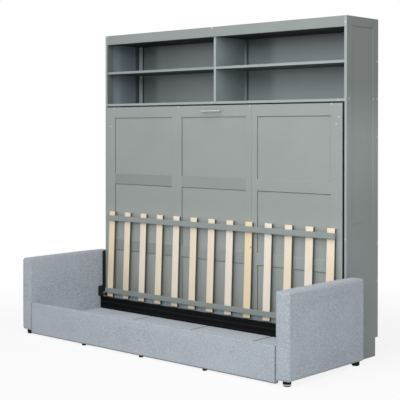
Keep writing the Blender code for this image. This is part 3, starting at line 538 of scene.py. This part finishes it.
def bare_wood(name, stretch, warmth, low, high, side_shade=0.0, ends=None):
    """Wood whose grain runs along the axis that stretch makes long. warmth goes from 0, cream, to 1, honey.

    side_shade is how dark the sides across X are painted, a painted shade, and ends is the height below which the
    wood is golden and painted lighter, partly painted light.
    """
    finish = Finish(name)
    body = finish.blend(PALE_WOOD, HONEY_WOOD, warmth)
    lines = finish.speckle(GRAIN_LINE, 5.0, 0.65, stretch)
    bands = finish.speckle(GRAIN_BAND, 2.0, 0.5, stretch)
    drift = finish.speckle(PLANK_DRIFT, 2.0)
    tone = finish.blend(body, lighter(HONEY_WOOD, -0.1), lines.spread(0.45, 0.75, 0.0, 0.22))
    tone = finish.blend(tone, HONEY_WOOD, bands.spread(0.5, 0.8, 0.0, 0.35))
    tone = finish.blend(tone, HONEY_WOOD, drift.spread(0.5, 0.75, 0.0, 0.4))
    knots = finish.add("TexVoronoi", {}, {"Vector": finish.place * KNOT_STRETCH, "Scale": KNOT_SCALE}, "Distance")
    tone = finish.blend(tone, KNOT_BROWN, knots.spread(KNOT_CORE, KNOT_RIM, 1.0, 0.0) * 0.7)
    edge = edge_distance(finish, low, high).spread(0.0, WOOD_EDGE, 1.0, 0.0)
    tone = finish.blend(tone, HONEY_WOOD, edge * 0.35)
    across, _, up = finish.place.parts()
    # The lower ends are golden and painted lighter: partly the wood's tone, partly painted light against the
    # rail's shade.
    if ends is not None:
        tone = finish.blend(tone, LIT_END_GOLD, up.spread(ends - END_STEP, ends + END_STEP, 0.5, 0.0))
    # Painted shade: the narrow sides are painted nearly black, for their shade and the shadow beside them.
    if side_shade:
        half = (high.x - low.x) / 2
        off_middle = across - (low.x + high.x) / 2
        right = off_middle.spread(half - RIGHT_SHADE_START, half - RIGHT_SHADE_FULL)
        left = off_middle.spread(LEFT_SHADE_START - half, LEFT_SHADE_FULL - half)
        tone = finish.blend(tone, PAINTED_SHADE_SIDE, (right + left) * lines.spread(0.3, 0.7, side_shade, side_shade * 0.85))
    return finish.filled(
        base_color=tone,
        roughness=0.55 + lines * 0.12,
        specular_ior_level=0.2,
        normal=finish.bumped(lines + bands * 0.5, GRAIN_DEPTH),
    )


# %% [markdown]
# Thirteen slats, from left to right. Their warmth is a list, because an even change would look like a rule.

# %% The slats of the back
UPRIGHT_GRAIN = (1.0, 1.0, 0.035)
WARMTH = (0.6, 0.4, 0.15, 0.3, 0.1, 0.35, 0.3, 0.05, 0.75, 0.0, 0.25, 0.05, 0.35)
# How dark the slats' narrow sides are painted, a painted shade.
SLAT_SIDE_SHADE = 0.97
RAIL_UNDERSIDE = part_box("back_lower_rail")[0].z

for number, warmth in enumerate(WARMTH, 1):
    node = f"back_slat_{number:02d}"
    wood = bare_wood("wood_" + node, UPRIGHT_GRAIN, warmth, *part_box(node), SLAT_SIDE_SHADE, RAIL_UNDERSIDE)
    dress(node, wood)
print("slats:", len(WARMTH), "average warmth:", round(sum(WARMTH) / len(WARMTH), 2))

# %% [markdown]
# The bed's frame is hidden while the bed is up. Its long rails and the bearer under the seat are plain timber, and
# the slats that carry the mattress are birch on a centre beam, so they share the slats' finish, with the grain
# turned the way each piece was sawn.

# %% Timber of the bed frame
LYING_GRAIN = (0.035, 1.0, 1.0)
TIMBER = {
    "bed_low_rail": LYING_GRAIN, "bed_high_rail": LYING_GRAIN, "seat_bearer": LYING_GRAIN,
    "bed_slat_base": UPRIGHT_GRAIN, "bed_end_rail_left": UPRIGHT_GRAIN, "bed_end_rail_right": UPRIGHT_GRAIN,
}
FRAME_WARMTH = 0.45

for node, grain in TIMBER.items():
    dress(node, bare_wood("timber_" + node, grain, FRAME_WARMTH, *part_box(node)))
print("timber pieces:", len(TIMBER))

# %% [markdown]
# Black steel. The hinge plates, brackets and the beam along the seat are folded or cut from steel and coated with
# powder, which melts into a skin with a soft grain. It is never quite black: dust and light lift it a little, and
# the edges of a plate are rubbed to a dark grey. The beam is the darkest, with two faint lighter lines along it
# where it was folded, painted highlights of the folds.

# %% Powder coat
BLACK_STEEL = paint_colour(26, 27, 30)
BEAM_BLACK = paint_colour(5, 5, 7)
RUBBED_STEEL = paint_colour(84, 84, 86)
FOLD_HIGHLIGHT_GREY = paint_colour(70, 70, 76)
COAT_GRAIN, COAT_DUST = 0.0016, 0.05
COAT_DEPTH = 0.00006
STEEL_EDGE = 0.0012
FOLD_CORE, FOLD_RIM = 0.0006, 0.0016


def powder_coat(name, colour, low, high, folds=()):
    """folds holds the heights of the faint lighter lines along the piece."""
    finish = Finish(name)
    grain = finish.speckle(COAT_GRAIN, 3.0, 0.6)
    dust = finish.speckle(COAT_DUST, 4.0, 0.6)
    edge = edge_distance(finish, low, high).spread(0.0, STEEL_EDGE, 1.0, 0.0)
    tone = finish.blend(colour, lighter(colour, 1.2), dust.spread(0.5, 0.75, 0.0, 0.4))
    tone = finish.blend(tone, RUBBED_STEEL, edge * 0.35)
    for fold in folds:
        # Painted highlight: a faint lighter line along each fold.
        line = (finish.place.parts()[UP] - fold).worked("ABSOLUTE").spread(FOLD_CORE, FOLD_RIM, 1.0, 0.0)
        tone = finish.blend(tone, FOLD_HIGHLIGHT_GREY, line * 0.7)
    return finish.filled(
        base_color=tone,
        roughness=0.5 + grain * 0.12,
        specular_ior_level=0.12 if folds else 0.5,
        normal=finish.bumped(grain, COAT_DEPTH),
    )


STEEL_PAIRS = ("side_plate_", "pivot_plate_", "pivot_bracket_", "back_hinge_plate_", "strut_tube_")
FOLD_SHARES = (0.35, 0.7)
for side in ("left", "right"):
    for stem in STEEL_PAIRS:
        dress(stem + side, powder_coat("coat_" + stem + side, BLACK_STEEL, *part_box(stem + side)))
beam_low, beam_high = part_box("cross_beam")
folds = [beam_low.z + share * (beam_high.z - beam_low.z) for share in FOLD_SHARES]
dress("cross_beam", powder_coat("coat_cross_beam", BEAM_BLACK, beam_low, beam_high, folds))
print("powder coated pieces:", 2 * len(STEEL_PAIRS) + 1)

# %% [markdown]
# Bright metal. The handle is nickel, brushed along its length, so its shine is drawn out into fine lines. The
# rods of the gas struts are ground and chromed. Both are metal through and through, so only their roughness and
# a fine relief change over the surface.

# %% Brushed nickel and ground steel
NICKEL = paint_colour(196, 194, 190)
CHROME = lighter(NICKEL, 0.1)
BRUSH_LINE, SMUDGE_SIZE = 0.0008, 0.02
BRUSH_DEPTH = 0.00001
HANDLE_GRAIN, ROD_GRAIN = (0.03, 1.0, 1.0), (1.0, 1.0, 0.1)


def brushed_metal(name, colour, stretch, roughness):
    finish = Finish(name)
    lines = finish.speckle(BRUSH_LINE, 3.0, 0.6, stretch)
    smudge = finish.speckle(SMUDGE_SIZE, 3.0)
    tone = finish.blend(lighter(colour, -0.12), lighter(colour, 0.08), lines.spread(0.35, 0.65))
    return finish.filled(
        base_color=tone,
        metallic=1.0,
        roughness=roughness + lines * 0.12 + smudge * 0.1,
        normal=finish.bumped(lines, BRUSH_DEPTH),
    )


dress("door_handle", brushed_metal("nickel_handle", NICKEL, HANDLE_GRAIN, 0.22))
for side in ("left", "right"):
    dress("strut_rod_" + side, brushed_metal("chrome_rod_" + side, CHROME, ROD_GRAIN, 0.08))
print("brush lines to a centimetre:", round(0.01 / BRUSH_LINE))

# %% [markdown]
# The feet are turned from black plastic. The front right one has a thin pale ring above its rim, a painted
# highlight. The ring is chosen by height: two steps, one up and one down, leave a band between them.

# %% Feet
FEET = ("front_left", "front_right", "rear_left", "rear_right")
FOOT_BLACK = paint_colour(9, 9, 11)
RING_HIGHLIGHT = paint_colour(235, 236, 238)
RING_LOW, RING_HIGH = 0.0072, 0.0122
RING_STEP = 0.0002
HIGHLIT_FEET = {"front_right": 1.0}
SCUFF_SIZE = 0.006
SCUFF_DEPTH = 0.00004


def foot_plastic(name, highlight_share=0.0):
    """highlight_share is how strongly the ring above the rim is painted pale, a painted highlight."""
    finish = Finish(name)
    scuff = finish.speckle(SCUFF_SIZE, 4.0, 0.6)
    tone = finish.blend(FOOT_BLACK, lighter(FOOT_BLACK, 1.5), scuff.spread(0.5, 0.75, 0.0, 0.6))
    # Painted highlight: a pale ring above the rim.
    if highlight_share:
        height = finish.place.parts()[UP]
        above = height.spread(RING_LOW - RING_STEP, RING_LOW + RING_STEP)
        ring = above * height.spread(RING_HIGH - RING_STEP, RING_HIGH + RING_STEP, 1.0, 0.0)
        pale = finish.blend(RING_HIGHLIGHT, lighter(RING_HIGHLIGHT, -0.4), scuff.spread(0.45, 0.7, 0.0, 0.6))
        tone = finish.blend(tone, pale, ring * highlight_share)
    return finish.filled(
        base_color=tone,
        roughness=0.38 + scuff * 0.2,
        specular_ior_level=0.15,
        normal=finish.bumped(scuff, SCUFF_DEPTH),
    )


for node in FEET:
    dress("arm_foot_" + node, foot_plastic("plastic_foot_" + node, HIGHLIT_FEET.get(node, 0.0)))
print("feet:", len(FEET))

# %% [markdown]
# The sofa's cloth is a heathered weave in light blue grey: threads of several greys are spun together, so that
# the cloth has flecks a few millimetres long. The weave itself is a relief of small humps. A picture of cloth
# would need its seams planned. Three waves, one along each axis, make the same humps on every face of a pad,
# because one of the three stands still on each face.
#
# A seam is a plane that cuts the pad: close to it the cloth dips and darkens, and a row of stitches runs beside
# it. A wider plane without stitches is the shade in a gap, where the cloth turns in beside its neighbour.

# %% Heathered cloth
CLOTH = paint_colour(178, 185, 193)
FLECK_SHARES = (0.62, 0.66, 0.71)
FLECK_SIZE, YARN_SIZE, SLUB_SIZE, FADE_SIZE = 0.0075, 0.0028, 0.024, 0.25
CLOTH_EDGE_SHADE = 0.014
CLOTH_DEPTH = 0.0004
THREAD_PITCH = 0.0022
SEAM_HALF, SEAM_SHADE = 0.0012, 0.3
GAP_SHADE = 0.85
STITCH_OFFSET, STITCH_PITCH = 0.005, 0.007
STITCH_CORE, STITCH_RIM = 0.0004, 0.0009


def heathered_cloth(name, colour, low, high, seams=()):
    """seams holds an axis, a place and half a width for each seam or gap. One of SEAM_HALF has stitches."""
    finish = Finish(name)
    parts = finish.place.parts()
    fleck = finish.speckle(FLECK_SIZE, 3.0, 0.7)
    yarn = finish.speckle(YARN_SIZE, 2.0, 0.6)
    slub = finish.speckle(SLUB_SIZE, 3.0, 0.6)
    fade = finish.speckle(FADE_SIZE, 2.0)
    fleck_dark = (*[channel * share for channel, share in zip(colour, FLECK_SHARES)], 1.0)
    tone = finish.blend(fleck_dark, lighter(colour, 0.29), fleck.spread(0.34, 0.64))
    tone = finish.blend(tone, lighter(colour, -0.35), yarn.spread(0.6, 0.78, 0.0, 0.5))
    tone = finish.blend(tone, lighter(colour, -0.14), slub.spread(0.5, 0.7, 0.0, 0.5))
    tone = finish.blend(tone, lighter(colour, 0.12), fade.spread(0.4, 0.65, 0.0, 0.4))
    # Painted shade: the cloth is darker along the pad's rounded edges.
    edge = edge_distance(finish, low, high).spread(0.0, CLOTH_EDGE_SHADE, 1.0, 0.0)
    tone = finish.blend(tone, lighter(colour, -0.3), edge * 0.2)
    waves = [(part * (2 * math.pi / THREAD_PITCH)).worked("SINE") for part in parts]
    weave = (waves[0] + waves[1] + waves[2]) / 6 + 0.5
    relief = weave + fleck * 0.8
    for axis, place, half in seams:
        sewn = half == SEAM_HALF
        away = parts[axis] - place
        seam = away.worked("ABSOLUTE").spread(half / 4, half, 1.0, 0.0)
        tone = finish.blend(tone, lighter(colour, -0.9), seam * (SEAM_SHADE if sewn else GAP_SHADE))
        if sewn:
            run = parts[(axis + 1) % 3] + parts[(axis + 2) % 3]
            dashes = (run * (2 * math.pi / STITCH_PITCH)).worked("SINE").spread(-0.5, -0.2)
            stitch = (away - STITCH_OFFSET).worked("ABSOLUTE").spread(STITCH_CORE, STITCH_RIM, 1.0, 0.0) * dashes
            tone = finish.blend(tone, lighter(colour, 0.3), stitch * 0.7)
            relief = relief - seam * 2 + stitch
    return finish.filled(
        base_color=tone * (0.94 + weave * 0.12),
        roughness=0.86 + fleck * 0.1,
        sheen_weight=0.2,
        sheen_roughness=0.5,
        normal=finish.bumped(relief, CLOTH_DEPTH),
    )


print("threads to a metre:", round(1 / THREAD_PITCH))

# %% [markdown]
# Padding. An arm of the sofa is a board box with foam on its outer sides and the cloth drawn tight over it: its
# edges are round, its faces swell a little between them, and the cloth puckers where it is pulled to the seams.
# Cloth simulation suits a loose cushion. Here the cloth is stretched over foam that is glued to a board, so the
# shape is worked out instead.
#
# It starts as a grid wrapped round a box. An even grid fine enough for a round edge would have far too many
# points on the flat, so the lines are close together only round the edges and at the seams.

# %% A grid wrapped round a box
BEND_TURNS = 5
SEAM_REACH = 0.006
SEAM_LINES = (-1.0, -0.5, -0.2, 0.0, 0.2, 0.5, 1.0)
GRID_STEP = 0.012


def grid_lines(low, high, radius, seams=()):
    """Places of the grid's lines along one side: close together round both edges and at each seam."""
    bend = [radius * (1 - math.tan(math.pi / 4 * turn / BEND_TURNS)) for turn in range(BEND_TURNS, -1, -1)]
    count = max(2, round((high - low - 2 * radius) / GRID_STEP))
    flat = [radius + (high - low - 2 * radius) * place / count for place in range(1, count)]
    lines = [low + place for place in (*bend, *flat, *[high - low - place for place in reversed(bend)])]
    for seam in seams:
        lines = [place for place in lines if abs(place - seam) > SEAM_REACH or place < low + radius]
        lines += [seam + SEAM_REACH * share for share in SEAM_LINES]
    return sorted(lines)


def wrapped_grid(low, high, radius, seams):
    """A closed grid over a box, as a mesh whose edges aren't round yet."""
    lines = [
        grid_lines(low[axis], high[axis], radius, [place for across, place, _ in seams if across == axis])
        for axis in range(3)
    ]
    shape = bmesh.new()
    corners = {}

    def corner(*place):
        key = tuple(round(value, 7) for value in place)
        if key not in corners:
            corners[key] = shape.verts.new(place)
        return corners[key]

    for axis in range(3):
        second, third = (axis + 1) % 3, (axis + 2) % 3
        for end, flip in ((low[axis], True), (high[axis], False)):
            for a0, a1 in zip(lines[second], lines[second][1:]):
                for b0, b1 in zip(lines[third], lines[third][1:]):
                    square = []
                    for a, b in ((a0, b0), (a1, b0), (a1, b1), (a0, b1)):
                        place = [0.0, 0.0, 0.0]
                        place[axis], place[second], place[third] = end, a, b
                        square.append(corner(*place))
                    shape.faces.new(reversed(square) if flip else square)
    return shape


print("lines along one metre:", len(grid_lines(0.0, 1.0, 0.01)))

# %% [markdown]
# Then every point of the grid moves. The edges are rounded by pulling each point towards a smaller box inside,
# each face is pushed out by its swell, and shallow folds and the dip at a seam are pressed in. The folds come from
# noise at two sizes, and only its low side counts, so they are separate puckers and not waves.

# %% A padded box
TIGHTNESS = 0.75
SEAM_DEPTH = 0.0016
WIDE_FOLD, FINE_FOLD = 9.0, 31.0
FOLD_LEVEL = 0.35


def swell_at(share_a, share_b):
    """How much of a face's swell is felt there: all of it in the middle, none at its edges."""
    return (1 - abs(share_a) ** 3) * (1 - abs(share_b) ** 3)


def link_piece(name, shape):
    """The finished shape as an object of the scene."""
    mesh = bpy.data.meshes.new(name)
    shape.to_mesh(mesh)
    shape.free()
    piece = bpy.data.objects.new(name, mesh)
    bpy.context.scene.collection.objects.link(piece)
    return piece


def padded_box(name, low, high, radius, swell, folds, seams=(), tight=0):
    """swell holds, for each axis, how far the low face and the high face are pushed out. folds is their depth.

    tight is the sign of the X side whose edges are drawn hard over the board.
    """
    low = Vector([low[axis] + swell[axis][0] for axis in range(3)])
    high = Vector([high[axis] - swell[axis][1] for axis in range(3)])
    middle, half = (low + high) / 2, (high - low) / 2
    shape = wrapped_grid(low, high, radius, seams)
    for vertex in shape.verts:
        place = vertex.co.copy()
        core = Vector([min(max(place[a], low[a] + radius), high[a] - radius) for a in range(3)])
        way = (place - core).normalized()
        drawn = TIGHTNESS * min(1.0, max(0.0, way.x * tight) * 3)
        place = core + way * radius * (1 - drawn + drawn / max(abs(value) for value in way))
        share = [(place[a] - middle[a]) / half[a] for a in range(3)]
        for axis in range(3):
            felt = swell_at(share[(axis + 1) % 3], share[(axis + 2) % 3]) * way[axis] ** 2
            push = swell[axis][1] if way[axis] > 0 else -swell[axis][0]
            place[axis] += felt * push
        ripple = noise.noise(place * WIDE_FOLD) * 0.6 + noise.noise(place * FINE_FOLD) * 0.4
        room = min(1.0, max(abs(value) for value in way))
        dip = sum(max(0.0, 1 - abs(vertex.co[axis] - seam) / SEAM_REACH) ** 2 for axis, seam, _ in seams)
        vertex.co = place + way * (min(0.0, ripple - FOLD_LEVEL) * folds * room - dip * SEAM_DEPTH)
    piece = link_piece(name, shape)
    for face in piece.data.polygons:
        face.use_smooth = True
    return piece


print("a swell is felt halfway out by", round(swell_at(0.5, 0.0), 2))

# %% [markdown]
# The two arms. Each stands beside the bed on two feet. Its outer side, front and top swell by 3 mm, the side
# towards the bed is drawn hard over the board, and below the cloth is turned in and hangs a little under it. The
# cloth is sewn from a front piece and a long piece that goes over the top, so one seam runs round the arm just
# behind its front.

# %% Arms
ARM_EDGE = 0.018
ARM_SWELL = 0.003
ARM_FOLDS = 0.0012
ARM_SEAM = 0.030
ARM_SAG = 0.007


def upholster(piece, node, seams=(), colour=CLOTH):
    """The piece stands for the solid, takes its finish and moves with the cabinet."""
    piece.data.materials.append(heathered_cloth("cloth_" + node, colour, *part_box(node), seams))
    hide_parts(node)
    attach(piece, "cabinet")
    return piece


for side, across, inward in (("left", (ARM_SWELL, 0.0), 1), ("right", (0.0, ARM_SWELL), -1)):
    swell = (across, (ARM_SWELL, 0.0), (0.0, ARM_SWELL))
    low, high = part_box("arm_" + side)
    seams = [(ALONG, low.y + ARM_SEAM, SEAM_HALF)]
    low.z -= ARM_SAG
    arm = padded_box("padded_arm_" + side, low, high, ARM_EDGE, swell, ARM_FOLDS, seams, tight=inward)
    upholster(arm, "arm_" + side, seams)
    print(arm.name, "points:", len(arm.data.vertices))

# %% [markdown]
# The rails. The front rail is a padded board on edge, and it has three plastic glides under it, so its cloth ends
# above the floor. The rear rail is a narrow padded strip behind the slats. The front rail's ends meet the arms in
# a dark line, and its lower hem lies in its own shade.

# %% Rails
RAIL_BOTTOM = 0.0095
RAIL_EDGE, RAIL_SWELL, RAIL_FOLDS = 0.010, 0.002, 0.001
STRIP_EDGE, STRIP_SWELL, STRIP_FOLDS = 0.005, 0.001, 0.0005
END_INSET = 0.0042
LEFT_HALF, RIGHT_HALF, HEM_HALF = 0.0075, 0.0032, 0.0120

rail_low, rail_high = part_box("front_rail")
rail_low.z = RAIL_BOTTOM
rail_swell = ((0, 0), (RAIL_SWELL, 0), (0, RAIL_SWELL))
rail = padded_box("padded_front_rail", rail_low, rail_high, RAIL_EDGE, rail_swell, RAIL_FOLDS)
ends = [(ACROSS, rail_low.x + END_INSET, LEFT_HALF), (ACROSS, rail_high.x - END_INSET, RIGHT_HALF)]
upholster(rail, "front_rail", [*ends, (UP, RAIL_BOTTOM, HEM_HALF)])

strip_swell = ((0, 0), (STRIP_SWELL, 0), (0, 0))
strip = padded_box("padded_rear_rail", *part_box("rear_rail"), STRIP_EDGE, strip_swell, STRIP_FOLDS)
upholster(strip, "rear_rail")
print("front rail from", round(rail_low.z, 3), "to", round(rail_high.z, 3))

# %% [markdown]
# The seat is four thin padded boards side by side. The dark lines between them are painted shade in the gaps
# where their rounded edges meet, so each board is a little narrower than its solid. The cloth is painted a
# little paler than the rest, painted light on the seat.

# %% Seat boards
SEAT_BOARDS = 4
SEAT_EDGE, SEAT_SWELL, SEAT_FOLDS = 0.008, 0.001, 0.0006
SEAT_GAP = Vector((0.0017, 0.0, 0.0))
GAP_HALF = 0.0065
# Painted light: the seat's cloth is a lighter copy of the cloth.
LIT_SEAT_CLOTH = lighter(CLOTH, 0.14)

for number in range(1, SEAT_BOARDS + 1):
    node = f"seat_board_{number}"
    low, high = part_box(node)
    swell = ((0, 0), (0, 0), (0, SEAT_SWELL))
    board = padded_box("padded_" + node, low + SEAT_GAP, high - SEAT_GAP, SEAT_EDGE, swell, SEAT_FOLDS)
    gaps = [(ACROSS, low.x + SEAT_GAP.x, GAP_HALF), (ACROSS, high.x - SEAT_GAP.x, GAP_HALF)]
    upholster(board, node, gaps, LIT_SEAT_CLOTH)
print("gaps between the boards in mm:", round(2000 * SEAT_GAP.x, 1))

# %% [markdown]
# Glides. They were part of the front rail's solid, which the padded rail now stands for, so they are turned again
# here: a profile is spun round an upright axis, as on a lathe.

# %% Glides under the front rail
GLIDE_PROFILE = (
    (0.0, 0.0), (0.0135, 0.0), (0.015, 0.0015), (0.015, 0.0045), (0.0145, 0.006), (0.0140, 0.0068),
    (0.0140, 0.009), (0.0140, 0.012), (0.0, 0.012),
)
GLIDES = 3
GLIDE_SPACING = 0.55
TURNS = 32


def turned(name, profile, place):
    """A closed piece spun from a profile of (radius, height)."""
    shape = bmesh.new()
    angles = [2 * math.pi * turn / TURNS for turn in range(TURNS)]
    rings = []
    for radius, height in profile:
        spots = [(radius * math.cos(a), radius * math.sin(a)) for a in angles] if radius else [(0.0, 0.0)]
        rings.append([shape.verts.new((place[0] + x, place[1] + y, place[2] + height)) for x, y in spots])
    for lower, upper in zip(rings, rings[1:]):
        for turn in range(TURNS):
            after = (turn + 1) % TURNS
            if len(lower) == 1:
                shape.faces.new((lower[0], upper[after], upper[turn]))
            elif len(upper) == 1:
                shape.faces.new((lower[turn], lower[after], upper[0]))
            else:
                shape.faces.new((lower[turn], lower[after], upper[after], upper[turn]))
    bmesh.ops.recalc_face_normals(shape, faces=shape.faces)
    return link_piece(name, shape)


for number in range(GLIDES):
    place = ((number - 1) * GLIDE_SPACING, (rail_low.y + rail_high.y) / 2, 0.0)
    glide = turned(f"glide_{number + 1}", GLIDE_PROFILE, place)
    glide.data.materials.append(foot_plastic(f"plastic_glide_{number + 1}"))
    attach(glide, "cabinet")
print("glides:", GLIDES)

# %% [markdown]
# Screw heads. Small pale heads show on the front edges, on the outer side and on the door, each with a cross cut
# into its dome. They are turned like the glides, once, and that one mesh is shared. A shared mesh is drawn in its
# own place and then moved and turned, so the cross can be drawn from places that are the same on every head.

# %% The finish of a screw head
HEAD_PALE = paint_colour(236, 238, 238)
CROSS_ARM, ARM_STEP = 0.0022, 0.0002
CROSS_HALF, HALF_STEP = 0.0004, 0.0001
TURNING_SIZE, HEAD_DEPTH = 0.0006, 0.0003

head_finish = Finish("screw_head")
near, far = [part.worked("ABSOLUTE") for part in head_finish.place.parts()[:2]]
thin = near.worked("MINIMUM", far).spread(CROSS_HALF - HALF_STEP, CROSS_HALF + HALF_STEP, 1.0, 0.0)
cross = thin * near.worked("MAXIMUM", far).spread(CROSS_ARM - ARM_STEP, CROSS_ARM + ARM_STEP, 1.0, 0.0)
turning = head_finish.speckle(TURNING_SIZE, 2.0)
# Painted shade: the cross is painted nearly black, for the shade in its cut.
head_material = head_finish.filled(
    base_color=head_finish.blend(HEAD_PALE, lighter(HEAD_PALE, -0.85), cross),
    roughness=0.3 + turning * 0.15,
    metallic=0.25,
    normal=head_finish.bumped(turning * 0.1 - cross, HEAD_DEPTH),
)
print("cross in mm:", 2000 * CROSS_ARM)

# %% [markdown]
# Their places: across and up on the edges and on the door, along and up on the side. Those on the door move with
# the bed.

# %% Screw heads
HEAD_PROFILE = (
    (0.0, -0.0003), (0.0042, -0.0003), (0.0042, 0.0004), (0.0036, 0.0009), (0.0022, 0.0013), (0.0, 0.0014),
)
TO_FRONT = (math.pi / 2, 0.0, 0.0)
TO_RIGHT = (0.0, math.pi / 2, 0.0)
HEADS_ON_EDGES = (
    (1.091, 2.134), (-0.019, 2.168), (-1.085, 2.168), (-0.019, 1.649), (1.036, 1.649), (1.091, 0.780),
)
HEADS_ON_SIDE = (
    (0.028, 1.657), (0.305, 1.659), (0.347, 1.660), (0.346, 1.903), (0.3475, 1.415), (0.350, 0.729),
    (0.3505, 0.480),
)
HEADS_ON_DOOR = (
    (-1.030, 1.488), (1.049, 1.544), (1.028, 1.500), (-0.996, 1.6255), (-0.331, 1.6255), (0.329, 1.6255),
    (0.992, 1.6255),
)
door_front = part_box("door_board_right")[0].y
places = [("cabinet", (x, side_low.y, z), TO_FRONT) for x, z in HEADS_ON_EDGES]
places += [("cabinet", (side_high.x, side_low.y + y, z), TO_RIGHT) for y, z in HEADS_ON_SIDE]
places += [("bed", (x, door_front, z), TO_FRONT) for x, z in HEADS_ON_DOOR]

first = turned("screw_head_01", HEAD_PROFILE, (0.0, 0.0, 0.0))
first.data.materials.append(head_material)
for number, (body, place, turn) in enumerate(places, 1):
    head = first
    if number > 1:
        head = bpy.data.objects.new(f"screw_head_{number:02d}", first.data)
        bpy.context.scene.collection.objects.link(head)
    head.location = place
    head.rotation_euler = turn
    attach(head, body)
print("screw heads:", len(places))

# %% [markdown]
# The world. The picture's ground is white, so the world shows white to the camera and to shiny metal, while the
# light that it gives to the bed stays faint and plain. Plain white would flatten the shadows.

# %% World
WORLD_LIGHT = 0.1


def seen_straight(web):
    """1 where the camera, a mirror or glass looks at it, 0 where it only gives light."""
    rays = ("Is Camera Ray", "Is Glossy Ray", "Is Transmission Ray")
    straight, shiny, clear = [web.add("LightPath", {}, {}, ray) for ray in rays]
    return straight.worked("MAXIMUM", shiny).worked("MAXIMUM", clear)


world = bpy.data.worlds.new("world")
bpy.context.scene.world = world
world.use_nodes = True
sky = Web(world.node_tree)
ground = world.node_tree.nodes["Background"]
sky.fill(ground.inputs["Color"], (1.0, 1.0, 1.0, 1.0))
sky.fill(ground.inputs["Strength"], seen_straight(sky).spread(0.0, 1.0, WORLD_LIGHT, 1.0))
print("world light:", WORLD_LIGHT)

# %% [markdown]
# The room is a plain pale floor. Near the bed it is matt and keeps the bed's shadow, and further out it turns
# wholly white, so no horizon shows.

# %% Floor
FLOOR_HALF = 12.0
FLOOR_DROP = 0.0005
FLOOR_PALE = paint_colour(238, 238, 238)
WHITE_START, WHITE_FULL = 1.3, 3.2
WHITE_NEAR = 0.87

shape = bmesh.new()
bmesh.ops.create_grid(shape, x_segments=8, y_segments=8, size=FLOOR_HALF)
floor = link_piece("floor", shape)
floor.location.z = -FLOOR_DROP

pale_floor = bpy.data.materials.new("pale_floor")
pale_floor.use_nodes = True
ground_web = Web(pale_floor.node_tree)
nodes = pale_floor.node_tree.nodes
nodes.remove(nodes["Principled BSDF"])
matt = ground_web.add("BsdfDiffuse", {}, {"Color": FLOOR_PALE})
white = ground_web.add("Emission", {}, {})
away = ground_web.add("TexCoord", {}, {}, "Object")
away = ground_web.add("VectorMath", {"operation": "LENGTH"}, {0: away}, "Value")
share = seen_straight(ground_web) * away.spread(WHITE_START, WHITE_FULL, WHITE_NEAR, 1.0)
both = ground_web.add("MixShader", {}, {0: share, 1: matt, 2: white})
ground_web.fill(nodes["Material Output"].inputs["Surface"], both)
floor.data.materials.append(pale_floor)
print("floor in m:", 2 * FLOOR_HALF)

# %% [markdown]
# The lamps. The main lamp is far away, low and to the left in front: its shadows of the slats fall to the right,
# and it reaches under the shelves. A second one beside it gives the faint second shadow. Four wide panels of light
# do most of the work: in front, near the ceiling, and two on the right. Each lamp is given by its angle to the
# right, its angle up, its distance, its size and its power.

# %% Lamps
AIM = Vector((0.0, 0.0, 0.9))
LAMPS = {
    "main_lamp": (-37, 10, 8.0, 1.0, 55.0),
    "second_lamp": (-58, 10, 8.0, 0.8, 15.0),
    "front_panel_light": (30, 25, 6.0, 2.5, 120.0),
    "ceiling_light": (7, 60, 4.3, 2.6, 72.0),
    "right_panel_light": (70, 35, 5.0, 2.5, 40.0),
    "low_panel_light": (75, 10, 6.0, 3.0, 30.0),
}

for name, (azimuth, elevation, distance, size, power) in LAMPS.items():
    side, height = math.radians(azimuth), math.radians(elevation)
    way = Vector((math.cos(height) * math.sin(side), -math.cos(height) * math.cos(side), math.sin(height)))
    light = bpy.data.lights.new(name, "AREA")
    light.shape = "DISK"
    light.size = size
    light.energy = power
    lamp = bpy.data.objects.new(name, light)
    lamp.location = AIM + distance * way
    lamp.rotation_euler = (AIM - lamp.location).to_track_quat("-Z", "Y").to_euler()
    bpy.context.scene.collection.objects.link(lamp)
print("lamps:", len(LAMPS))

# %% [markdown]
